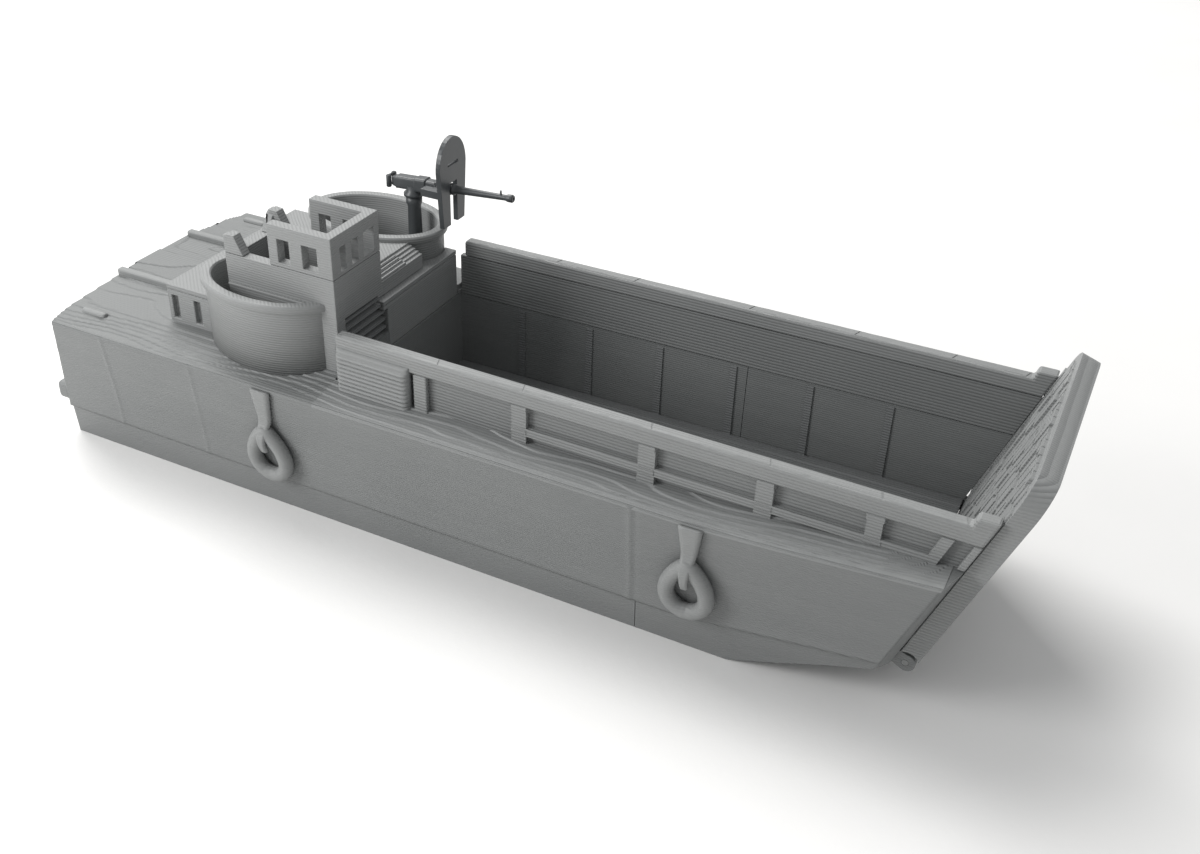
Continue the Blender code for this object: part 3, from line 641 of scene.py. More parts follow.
@dataclass
class Hull:
    """The two printed hull blocks, with their side plating, stepped decks and stern ledge."""

    layer: float = 0.2
    wobble: float = 0.26
    side_rise: float = 0.95
    deck_break: float = 48.3
    edge_round: float = 0.4
    proud: float = 0.07
    chine_step: float = 0.42
    step_fade: float = 2.2
    skin: float = 0.3
    skin_above: float = 0.06
    skin_below: float = 0.55
    groove: float = 0.10
    groove_width: float = 0.16
    panel_edges: tuple[float, ...] = (-0.62, -0.2, 0.2, 0.62)
    panel_rows: tuple[float, float] = (10.6, 19.8)
    seams: tuple[tuple[float, float, float], ...] = ((9.0, 0.14, 0.24), (26.0, 0.12, 0.24),
                                                     (98.2, -0.09, 0.16), (97.4, 0.14, 0.32))

    def build(self) -> None:
        """Builds every piece of the hull."""
        paint("hull_aft", Finish.HULL)
        paint("hull_bow", Finish.HULL)
        dress(softened("transom_ledge", 0.2), Finish.HULL)
        dress(self.stern_plate(), Finish.HULL)
        stations = np.linspace(TRANSOM + 0.5, self.deck_break, 180)
        breadths = np.linspace(-1.0, 1.0, 255)
        dress(self.deck("aft_deck_skin", stations, breadths * (FORM.deck_half + self.proud), 5), Finish.HULL)
        for side in Side:
            inner = FORM.rail_half - 0.8
            stations = np.linspace(self.deck_break, FORM.last(), 440)
            across = np.linspace(0.0, 1.0, 68)
            low = FORM.rail(stations)[:, None] - FORM.rail_half + inner
            breadth = side.value * (low + (FORM.deck_half + self.proud - low) * across[None, :])
            dress(self.deck(f"side_deck_skin_{side.tag}", stations, breadth, 5), Finish.DECK)
            dress(self.plating(side), Finish.HULL)

    def deck(self, name: str, stations: np.ndarray, breadth: np.ndarray, seed: int) -> bpy.types.Object:
        """A stretch of deck whose shallow slope shows every printed layer as a wandering step.

        Its height is the camber and a smooth wander, rounded down to whole layers, less a quarter
        round at the outer edge.

        Args:
            name: The piece's name.
            stations: Stations of the rows.
            breadth: Breadths of the columns, for all rows or for each.
            seed: Chooses the wander.

        Returns:
            The piece.
        """
        x = np.broadcast_to(stations[:, None], (len(stations), breadth.shape[-1]))
        y = np.broadcast_to(breadth, x.shape)
        limit = FORM.deck_half + self.proud
        inward = np.clip((limit - np.abs(y)) / 6.0, 0.0, 1.0)
        wave = wander(x * 0.30, y * 0.8, 14.0, seed) + wander(x * 0.4, y * 0.8, 6.0, seed + 1) * 0.12
        ends = np.clip((FORM.last() - x) / 5.0, 0.0, 1.0)
        swell = np.clip((limit - np.abs(y)) / 1.2, 0.0, 1.0) * self.wobble
        smooth = FORM.rise(y) + (self.side_rise * inward ** 0.8 + wave * swell) * ends
        stepped = np.maximum(terraced(smooth, self.layer, 0.14), FORM.rise(y)) + self.skin_above
        drop = (self.rounded(np.abs(y) - (limit - self.edge_round))
                + self.rounded(TRANSOM + 0.5 + self.edge_round - x))
        z = FORM.edge(x) + stepped - drop
        low = np.full_like(z, -self.skin_below) + FORM.edge(x)
        return slab(name, place(FORM.forward(x, z), y, z), place(FORM.forward(x, low), y, low))

    def rounded(self, past: np.ndarray) -> np.ndarray:
        """The drop of a quarter round, by how far a point lies past the round's start."""
        reach = np.clip(past, 0.0, self.edge_round)
        return self.edge_round - np.sqrt(np.maximum(self.edge_round ** 2 - reach ** 2, 0.0))

    def stern_plate(self) -> bpy.types.Object:
        """The raked face above the ledge: a thin skin with sunk lines round its panels.

        It lies on the transom's own rake, and stands out by a little less a bell-shaped groove at
        each panel's edge.

        Returns:
            The piece.
        """
        y = np.linspace(-1.0, 1.0, 200)[:, None]
        z = np.linspace(9.1, 21.6, 60)[None, :]
        wide = FORM.side(np.array(TRANSOM), z) - 0.25
        rake = np.interp(z, RAKE_Z[:2], RAKE_X[:2])
        out = 0.12 + 0.012 * wander(y * wide, z * 3.0, 6.0, 41)
        for at in self.panel_edges:
            out = out - self.groove * np.exp(-((y - at) * 22.0 / self.groove_width) ** 2)
        for height in self.panel_rows:
            out = out - self.groove * np.exp(-((z - height) / self.groove_width) ** 2)
        inner = place(rake + self.skin + 0 * y, y * wide, z)
        return slab("stern_plate", place(rake - out, y * wide, z), inner)

    def plating(self, side: Side) -> bpy.types.Object:
        """The side above the chine: a thin skin that stands proud at its foot, with upright seams.

        Its outer face is the hull's own side, moved out by a step that fades upwards and by a
        ridge or groove at each seam, which is a bell curve along the length.

        Args:
            side: The side that it is on.

        Returns:
            The piece.
        """
        x = np.linspace(TRANSOM, FORM.last(), 440)[:, None]
        share = np.linspace(0.0, 1.0, 40)[None, :]
        z = FORM.chine(x) + (FORM.edge(x) - 0.2 - FORM.chine(x)) * share
        above = z - FORM.chine(x)
        out = self.proud + self.chine_step * np.exp(-above / self.step_fade)
        for at, height, width in self.seams:
            out = out + height * np.exp(-((x - at) / width) ** 2)
        out = out + 0.018 * wander(x * 0.3, z * 3.0, 6.0, 3)
        station = FORM.forward(x, z)
        outer = place(station, side.value * (FORM.side(x, z) + out), z)
        inner = place(station, side.value * (FORM.side(x, z) - self.skin), z)
        return slab(f"side_plating_{side.tag}", outer, inner, smooth=True)


@dataclass
class Fender:
    """A ring fender on the side: a pear-shaped tube, and the strap that hooks it to the deck edge."""

    name: str
    station: float
    height: float
    along: float = 2.8
    down: float = 2.95
    up: float = 5.0
    tube: float = 1.1
    pinch: float = 0.4
    strap_top: float = 21.6

    def build(self, side: Side) -> None:
        """Builds the ring and its strap on one side."""
        dress(self.ring(side), Finish.FITTING)
        dress(self.strap(side), Finish.FITTING)

    def ring(self, side: Side) -> bpy.types.Object:
        """The tube round a pear-shaped loop that lies against the hull's side.

        The loop is an oval whose upper half is taller and narrows as the square of its height. The
        tube is a circle across the loop's own direction, ribbed a little by the layers.

        Args:
            side: The side that it is on.

        Returns:
            The piece.
        """
        turn = np.linspace(0, FULL_TURN, 120, endpoint=False)
        high = np.sin(turn)
        x = self.station + self.along * (1 - self.pinch * np.clip(high, 0, None) ** 2) * np.cos(turn)
        z = self.height + np.where(high > 0, self.up, self.down) * high
        out = FORM.side(x, z) + self.tube + 0.1
        path = place(x, side.value * out, z)
        ahead = np.roll(path, -1, 0) - np.roll(path, 1, 0)
        ahead /= np.linalg.norm(ahead, axis=1, keepdims=True)
        outward = np.array([0.0, float(side.value), 0.0])
        sideways = np.cross(ahead, outward)
        sideways /= np.linalg.norm(sideways, axis=1, keepdims=True)
        around = np.linspace(0, FULL_TURN, 32, endpoint=False)
        bulge = self.tube * MM * (1 + 0.02 * wander(x * 3, z * 3, 4.0, 11))[:, None, None]
        rings = (path[:, None] + bulge * (np.cos(around)[None, :, None] * sideways[:, None]
                                          + np.sin(around)[None, :, None] * outward[None, None]))
        obj = loft(f"fender_ring_{self.name}_{side.tag}", rings, closed=True)
        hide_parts(f"fender_{self.name}_{side.tag}")
        return obj

    def strap(self, side: Side) -> bpy.types.Object:
        """A flat band from the deck edge, narrowing, over the ring's top and hooked into its hole.

        Its line runs down the side, out over the tube and back in. Its cross-section is a band with
        rounded edges, wide at the deck and narrow at the hook.

        Args:
            side: The side that it is on.

        Returns:
            The piece.
        """
        ring_top = self.height + self.up
        z = np.linspace(self.strap_top, self.height + 0.36 * self.up, 60)
        knots = [self.height, ring_top - 2.2 * self.tube, ring_top - 0.4, ring_top + 1.6, self.strap_top]
        lift = np.interp(z, knots, [0.7, 2.2 * self.tube, 2.2 * self.tube, 0.7, 0.55])
        lift = np.convolve(np.pad(lift, 4, mode="edge"), np.ones(9) / 9, mode="valid")
        half = np.interp(z, [self.height, ring_top - 1.5, ring_top + 1.2, self.strap_top],
                         [0.4, 0.62, 1.0, 1.65])
        column = np.linspace(-1, 1, 9)[None, :]
        x = self.station + half[:, None] * column
        crown = 0.30 * np.sqrt(np.clip(1 - column ** 6, 0, 1))
        y = FORM.side(x, z[:, None]) + lift[:, None]
        top = place(x, side.value * (y + crown), z[:, None])
        bottom = place(x, side.value * (y - 0.35), z[:, None])
        obj = slab(f"fender_hook_{self.name}_{side.tag}", top, bottom, smooth=True)
        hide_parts(f"fender_strap_{self.name}_{side.tag}")
        return obj


# ------------------------------------------------------------------ bulwarks and well

@dataclass
class Bulwark:
    """One bulwark: panel, rails, posts and the louvred box at its after end."""

    louvre: tuple[float, float] = (49.7, 61.7)
    louvre_z: tuple[float, float] = (22.2, 29.15)
    ribs: int = 9
    rib_depth: float = 0.5
    end_round: float = 0.9
    posts: tuple[float, ...] = (78.9, 97.5, 113.35, 127.1)
    bracket_z: tuple[float, float] = (28.15, 24.7)
    joints: tuple[float, ...] = (50.2, 66.0, 79.2, 97.6, 113.4, 127.2, 137.2)
    plate_half: float = 0.82

    def build(self, side: Side) -> None:
        """Builds the bulwark of one side."""
        for node, width in (("top_rail", 0.32), ("rail_lattice", 0.16), ("aft_rail_post", 0.18),
                            ("bow_post", 0.15)):
            dress(softened(f"{node}_{side.tag}", width), Finish.RAIL)
        # The panel takes the darker panel finish, which is painted shade for its recess under the rail.
        dress(softened(f"bulwark_panel_{side.tag}", 0.12), Finish.PANEL)
        dress(self.louvre_box(side), Finish.FITTING)
        dress(self.rail_scarfs(side), Finish.RAIL)
        dress(self.brackets(side), Finish.RAIL)

    def brackets(self, side: Side) -> bpy.types.Object:
        """Chamfered blocks where each post meets the rail above it and the middle rail.

        Args:
            side: The side that it is on.

        Returns:
            The piece.
        """
        x = np.tile(self.posts, 2)
        z = np.repeat(self.bracket_z, len(self.posts))
        centres = place(x, side.value * (FORM.rail(x) - 0.45), z)
        halves = np.tile([1.35 * MM, 0.55 * MM, 0.62 * MM], (len(x), 1))
        axes = np.array([(1.0, 0, 0), (0, 0, 1.0), (0, float(side.value), 0)])
        return blocks(f"post_brackets_{side.tag}", centres, halves[:, [0, 2, 1]], axes, 0.25 * MM)

    def louvre_box(self, side: Side) -> bpy.types.Object:
        """The box of lying slats, with its ends rounded off.

        Its face stands out by the rounded slats, which are half waves over the height, times a
        share that falls as a quarter circle to nothing at each end and at the foot and head.

        Args:
            side: The side that it is on.

        Returns:
            The piece.
        """
        (aft, fore), (low, high) = self.louvre, self.louvre_z
        x = np.linspace(aft, fore, 70)[:, None]
        z = np.linspace(low, high, 150)[None, :]
        from_end = np.minimum(np.minimum(x - aft, fore - x), self.end_round) / self.end_round
        share = np.sqrt(np.clip(1 - (1 - from_end) ** 2, 0, 1))
        slat = (z - low - 0.1) / (high - low - 0.9) * self.ribs
        wave = np.sqrt(np.abs(np.sin(math.pi * slat)) + 1e-6)
        wave = np.where((slat < 0) | (slat > self.ribs), 0.25, wave)
        under = np.clip((z - low) / 0.25, 0, 1) * np.clip((high - z) / 0.3, 0, 1)
        out = 0.12 + share * under * (0.30 + self.rib_depth * wave)
        front = place(x, side.value * (FORM.rail(x) + out), z)
        back = place(x, side.value * (FORM.rail(x) - 0.78 + 0.0 * z), z)
        obj = slab(f"louvre_slats_{side.tag}", front, back, smooth=True)
        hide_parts(f"louvre_box_{side.tag}")
        return obj

    def rail_scarfs(self, side: Side) -> bpy.types.Object:
        """Thin raised plates on the rail's top between slanting joints, as printed planks.

        Each plate is a grid whose ends are cut on the slant, a tenth of a millimetre high.

        Args:
            side: The side that it is on.

        Returns:
            The piece.
        """
        grids = []
        for aft, fore in zip(self.joints, self.joints[1:]):
            across = np.linspace(-self.plate_half, self.plate_half, 7)[None, :]
            along = np.linspace(0.0, 1.0, 24)[:, None]
            x = aft + 0.12 + 0.35 * across + (fore - aft - 0.24) * along
            middle = FORM.rail(x) - 1.0
            edge = 0.13 * np.clip((self.plate_half - np.abs(across)) / 0.12, 0, 1)
            z = 30.86 + edge + 0.02 * wander(x, across * 2, 7.0, 17)
            grids.append((place(x, side.value * (middle + across), z),
                          place(x, side.value * (middle + across), z * 0 + 30.6)))
        parts = [slab(f"scarf_{number}_{side.tag}", top, low) for number, (top, low) in enumerate(grids)]
        return joined(f"rail_scarf_plates_{side.tag}", parts)


@dataclass
class Well:
    """The cargo well: its planked floor, its inner frames, and the ribbed bulkhead at its after end."""

    floor_z: float = 9.0
    aft: float = 48.7
    plank: float = 2.05
    groove: float = 0.16
    frames: tuple[float, ...] = (60.0, 72.0, 84.0, 96.0, 108.0, 120.0)

    def build(self) -> None:
        """Builds the floor, the frames and the bulkhead."""
        # The floor, ribs and grille take the darker well finish, which is painted shade for the recessed
        # well.
        dress(self.floor(), Finish.WELL)
        dress(self.frame_ribs(), Finish.WELL)
        dress(softened("well_end_grille", 0.1), Finish.WELL)

    def floor(self) -> bpy.types.Object:
        """The floor with a groove between planks: its height drops at the foot of each plank's edge.

        Returns:
            The piece.
        """
        half = FORM.rail_half - FORM.wall - 0.06
        fore = float(FORM.bow_plane(self.floor_z)) - 0.1
        count = int(2 * half / self.plank)
        pitch = 2 * half / count
        offsets = np.array([0.0, 0.07, 0.14, 1 - 0.14, 1 - 0.07])
        share = (np.arange(count)[:, None] + offsets[None]).reshape(-1) / count
        share = np.concatenate([share, [1.0]])
        depth = np.tile([self.groove, self.groove * 0.3, 0.0, 0.0, self.groove * 0.3], count)
        depth = np.concatenate([depth, [self.groove]])
        x = np.linspace(self.aft, fore, 120)[:, None]
        wide = half + (x - FORM.rail_aft) * FORM.rail_spread
        y = wide * (2 * share[None, :] - 1)
        plank_lift = 0.03 * np.sin(np.floor(share * count) * 2.4)[None, :]
        z = self.floor_z + 0.06 - depth[None, :] + plank_lift + 0.02 * wander(x, y, pitch * 5, 23)
        obj = slab("well_floor_planks", place(x, y, z), place(x, y, z * 0 + self.floor_z - 0.75))
        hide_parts("cargo_floor")
        return obj

    def frame_ribs(self) -> bpy.types.Object:
        """Upright ribs on the inner walls, from the floor to below the bulwark panels.

        Returns:
            The piece.
        """
        x = np.repeat(np.array(self.frames), 2)
        sign = np.tile([-1.0, 1.0], len(self.frames))
        wall = FORM.rail_half - FORM.wall + (x - FORM.rail_aft) * FORM.rail_spread
        centres = place(x, sign * (wall - 0.08), np.full_like(x, 15.0))
        halves = np.tile([0.6 * MM, 0.22 * MM, 6.1 * MM], (len(x), 1))
        return blocks("well_frame_ribs", centres, halves, np.eye(3), 0.1 * MM)


# ------------------------------------------------------------------ casing, tubs and pilothouse

@dataclass
class Tub:
    """One oval gun tub: a wall with a proud rounded lip, and its floor."""

    station: float = 35.5
    breadth: float = 13.0
    long: float = 11.5
    wide: float = 7.6
    foot: float = 21.6
    rim: float = 33.9
    lip: float = 0.6
    lip_deep: float = 1.15
    wall: float = 1.0
    floor: float = 24.0

    def build(self, side: Side) -> None:
        """Builds one tub; the starboard one stops at the pilothouse."""
        whole = side is Side.PORT
        wall = dress(self.shell(side, whole), Finish.HOUSE)
        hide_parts(f"gun_tub_{side.tag}")
        # The tub's floor takes the darker well finish, which is painted shade down inside the tub.
        dress(self.floor_plate(side), Finish.WELL)

    def profile(self) -> np.ndarray:
        """The wall's section as (offset, height): up the outside, round the lip, down the inside.

        Returns:
            Rows of offset and height.
        """
        lip_low = self.rim - self.lip_deep
        turn = np.linspace(0, math.pi / 2, 6)
        r = 0.32
        under = np.array([(0.0, self.foot), (0.0, lip_low - 0.35), (0.10, lip_low - 0.1)])
        side_up = np.array([(self.lip - 0.12, lip_low), (self.lip, lip_low + 0.15)])
        outer = np.stack([self.lip - r + r * np.cos(turn), self.rim - r + r * np.sin(turn)], -1)
        inner = np.stack([-self.wall + r - r * np.sin(turn), self.rim - r + r * np.cos(turn)], -1)
        down = np.array([(-self.wall, self.floor - 0.4)])
        foot = np.array([(-self.wall, self.foot)])
        return np.concatenate([under, side_up, outer, inner, down, foot])

    def shell(self, side: Side, whole: bool) -> bpy.types.Object:
        """The wall's section carried round the oval: each offset widens the oval both ways.

        Args:
            side: The side that it is on.
            whole: Whether the wall goes all the way round.

        Returns:
            The piece.
        """
        if whole:
            turn = np.linspace(0, FULL_TURN, 160, endpoint=False)
        else:
            turn = np.radians(np.linspace(-21.0, -238.0, 150))
        section = self.profile()
        long = self.long + section[None, :, 0]
        wide = self.wide + section[None, :, 0]
        x = self.station + long * np.cos(turn)[:, None]
        y = side.value * self.breadth + wide * np.sin(turn)[:, None]
        z = np.broadcast_to(section[None, :, 1], x.shape)
        z = z + 0.03 * wander(x, y, 9.0, 31) * (z > self.rim - 0.5)
        return loft(f"tub_wall_{side.tag}", place(x, y, z), closed=whole)

    def floor_plate(self, side: Side) -> bpy.types.Object:
        """The floor inside the wall: a disc in polar rings, with a low tread pattern of ripples.

        Args:
            side: The side that it is on.

        Returns:
            The piece.
        """
        radius = np.linspace(0.02, 1.0, 26)[:, None]
        turn = np.linspace(0, FULL_TURN, 121)[None, :]
        x = self.station + (self.long - self.wall + 0.1) * radius * np.cos(turn)
        y = side.value * self.breadth + (self.wide - self.wall + 0.1) * radius * np.sin(turn)
        z = self.floor + 0.03 + terraced(0.12 + 0.1 * wander(x, y, 8.0, 37), 0.08, 0.3)
        x, y, z = (np.concatenate([a, np.full((1, 121), a[0].mean())])[[-1, *range(26)]] for a in (x, y, z))
        top = place(x, y, z)
        return slab(f"tub_floor_{side.tag}", top, place(x, y, z * 0 + self.floor - 0.6))


@dataclass
class House:
    """The engine casing, its roof and hatch, and the pilothouse with its horns and window frame."""

    slats: int = 5

    def build(self) -> None:
        """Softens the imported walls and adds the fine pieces."""
        for node, width in (("engine_casing", 0.16), ("casing_roof", 0.14), ("engine_hatch", 0.14),
                            ("pilothouse_walls", 0.22), ("pilothouse_window_frame", 0.34),
                            ("pilothouse_horn_port", 0.3), ("pilothouse_horn_starboard", 0.3)):
            dress(softened(node, width), Finish.HOUSE)
        for side in Side:
            dress(softened(f"deck_strip_{side.tag}", 0.15), Finish.FITTING)
        dress(self.hatch_slats(), Finish.HOUSE)
        dress(self.wall_belt(), Finish.HOUSE)

    def hatch_slats(self) -> bpy.types.Object:
        """Rounded slats over the hatch's stepped front, each a low block that lies athwart.

        Returns:
            The piece.
        """
        low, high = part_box("engine_hatch")
        share = (np.arange(self.slats) + 0.5) / self.slats
        top = np.array([high.x - (1 - share) * 2.9 * MM, np.full(self.slats, low.y + 4.3 * MM),
                        high.z - share * 1.25 * MM]).T
        halves = np.tile([0.2 * MM, 4.0 * MM, 0.16 * MM], (self.slats, 1))
        return blocks("hatch_slats", top, halves, np.eye(3), 0.08 * MM)

    def wall_belt(self) -> bpy.types.Object:
        """The thin ledge on the pilothouse's starboard wall inside the tub, at the lip's height.

        Returns:
            The piece.
        """
        low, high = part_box("pilothouse_walls")
        centre = np.array([[(low.x + high.x) / 2 - 1.0 * MM, low.y - 0.12 * MM, 33.3 * MM]])
        halves = np.array([[(high.x - low.x) / 2 - 1.2 * MM, 0.2 * MM, 0.2 * MM]])
        return blocks("pilothouse_wall_belt", centre, halves, np.eye(3), 0.06 * MM)


@dataclass
class Cleats:
    """The two mooring cleats on the after deck: a foot, two stubs and a tapered bar."""

    bar: float = 0.55
    stub: float = 0.5

    def build(self) -> None:
        """Builds both cleats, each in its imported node's box."""
        for side in Side:
            obj = dress(self.cleat(side), Finish.FITTING)
            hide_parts(f"cleat_{side.tag}")

    def cleat(self, side: Side) -> bpy.types.Object:
        """A chamfered foot and stubs under a bar of round rings whose radius falls at the ends.

        Args:
            side: The side that it is on.

        Returns:
            The piece.
        """
        low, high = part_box(f"cleat_{side.tag}")
        middle = (low + high) / 2
        long = high.x - low.x
        share = np.linspace(-1.0, 1.0, 22)[:, None]
        turn = np.linspace(0, FULL_TURN, 24, endpoint=False)[None, :]
        radius = self.bar * MM * (0.55 + 0.45 * np.sqrt(np.clip(1 - share ** 4, 0, 1)))
        x = middle.x + (long / 2 - 0.1 * MM) * share + 0 * turn
        bar = loft("bar", np.stack([x, middle.y + radius * np.cos(turn) * 1.2,
                                    high.z - self.bar * MM + radius * np.sin(turn)], -1), closed=False)
        spots = np.array([(middle.x, middle.y, low.z + 0.2 * MM)]
                         + [(middle.x + sign * long / 5, middle.y, middle.z) for sign in (-1, 1)])
        halves = np.array([(long * 0.36, 1.1 * MM, 0.3 * MM)]
                          + [(self.stub * MM, self.stub * MM, (high.z - low.z) / 2 - 0.2 * MM)] * 2)
        return joined(f"cleat_bar_{side.tag}", [bar, blocks("foot", spots, halves, np.eye(3), 0.12 * MM)])


# ------------------------------------------------------------------ ramp

@dataclass
class Ramp:
    """The bow ramp: a thick plate, planked on its inner face, with a plain margin."""

    half: float = 18.6
    length: float = 31.5
    thick: float = 2.6
    margin: float = 1.9
    strake: float = 1.8
    plank: tuple[float, float] = (3.0, 6.0)
    corner: float = 4.0
    foot: float = 2.6
    rows: tuple[float, ...] = (6.0, 12.0, 18.0, 24.0)

    def build(self) -> None:
        """Builds the plate, its planks and its pin."""
        dress(softened("bow_ramp", 0.75, 4), Finish.RAIL, Body.RAMP)
        dress(self.planks(), Finish.RAIL, Body.RAMP)
        dress(self.stiffeners(), Finish.RAIL, Body.RAMP)
        dress(self.margins(), Finish.RAIL, Body.RAMP)
        paint("ramp_hinge_pin", Finish.FITTING)

    def axes(self) -> np.ndarray:
        """Directions along the ramp from its hinge, across it, and out of its inner face."""
        cos, sin = math.cos(FORM.ramp_lean), math.sin(FORM.ramp_lean)
        return np.array([(sin, 0.0, cos), (0.0, 1.0, 0.0), (-cos, 0.0, sin)])

    def hinge(self) -> np.ndarray:
        """The middle of the hinge's axis."""
        return place(np.array(FORM.hinge_x), np.array(0.0), np.array(FORM.hinge_z))

    def planks(self) -> bpy.types.Object:
        """Strakes of short planks that run up the inner face, with their butts staggered.

        Each strake is cut into planks of drawn lengths, and each plank is a thin block that stands
        proud by a drawn height.

        Returns:
            The piece.
        """
        draw = np.random.default_rng(7)
        count = int(2 * (self.half - self.margin) / self.strake)
        wide = 2 * (self.half - self.margin) / count
        centres, halves = [], []
        for row in range(count):
            across = -self.half + self.margin + wide * (row + 0.5)
            beyond = max(0.0, abs(across) + wide / 2 - (self.half - self.corner))
            head = self.length - 1.3 - (self.corner - math.sqrt(max(0.0, self.corner ** 2 - beyond ** 2)))
            at = self.foot - draw.uniform(0.0, 2.0)
            while at < head - 0.5:
                end = min(head, at + draw.uniform(*self.plank))
                start = max(at, self.foot)
                if end - start > 0.6:
                    lift = draw.uniform(0.08, 0.42)
                    centres.append(((start + end) / 2, across, self.thick / 2 + lift / 2 - 0.1))
                    halves.append(((end - start) / 2 - 0.08, wide / 2 - 0.08, lift / 2 + 0.1))
                at = end
        axes = self.axes()
        middle = self.hinge() + np.array(centres) * MM @ axes
        return blocks("ramp_planks", middle, np.array(halves) * MM, axes, 0.09 * MM)

    def margins(self) -> bpy.types.Object:
        """Two raised strips up the sides of the inner face, which close on the bow's posts.

        Returns:
            The piece.
        """
        top = self.length - self.corner - 0.4
        centres = np.array([((2.9 + top) / 2, sign * (self.half - 1.0), self.thick / 2 + 0.01)
                            for sign in (-1, 1)])
        halves = np.tile([(top - 2.9) / 2, 0.75, 0.23], (2, 1))
        axes = self.axes()
        return blocks("ramp_margin_strips", self.hinge() + centres * MM @ axes, halves * MM, axes, 0.1 * MM)

    def stiffeners(self) -> bpy.types.Object:
        """Low ribs across the outer face, finished from the type of craft.

        Returns:
            The piece.
        """
        rows = np.array(self.rows)
        centres = np.stack([rows, 0 * rows, 0 * rows - self.thick / 2 - 0.06], -1)
        halves = np.tile([0.55, self.half - 2.2, 0.16], (len(rows), 1))
        axes = self.axes()
        flipped = axes * np.array([[1.0], [1.0], [-1.0]])
        centres[:, 2] *= -1
        middle = self.hinge() + centres * MM @ flipped
        return blocks("ramp_outer_ribs", middle, halves * MM, flipped, 0.1 * MM)


# ------------------------------------------------------------------ gun

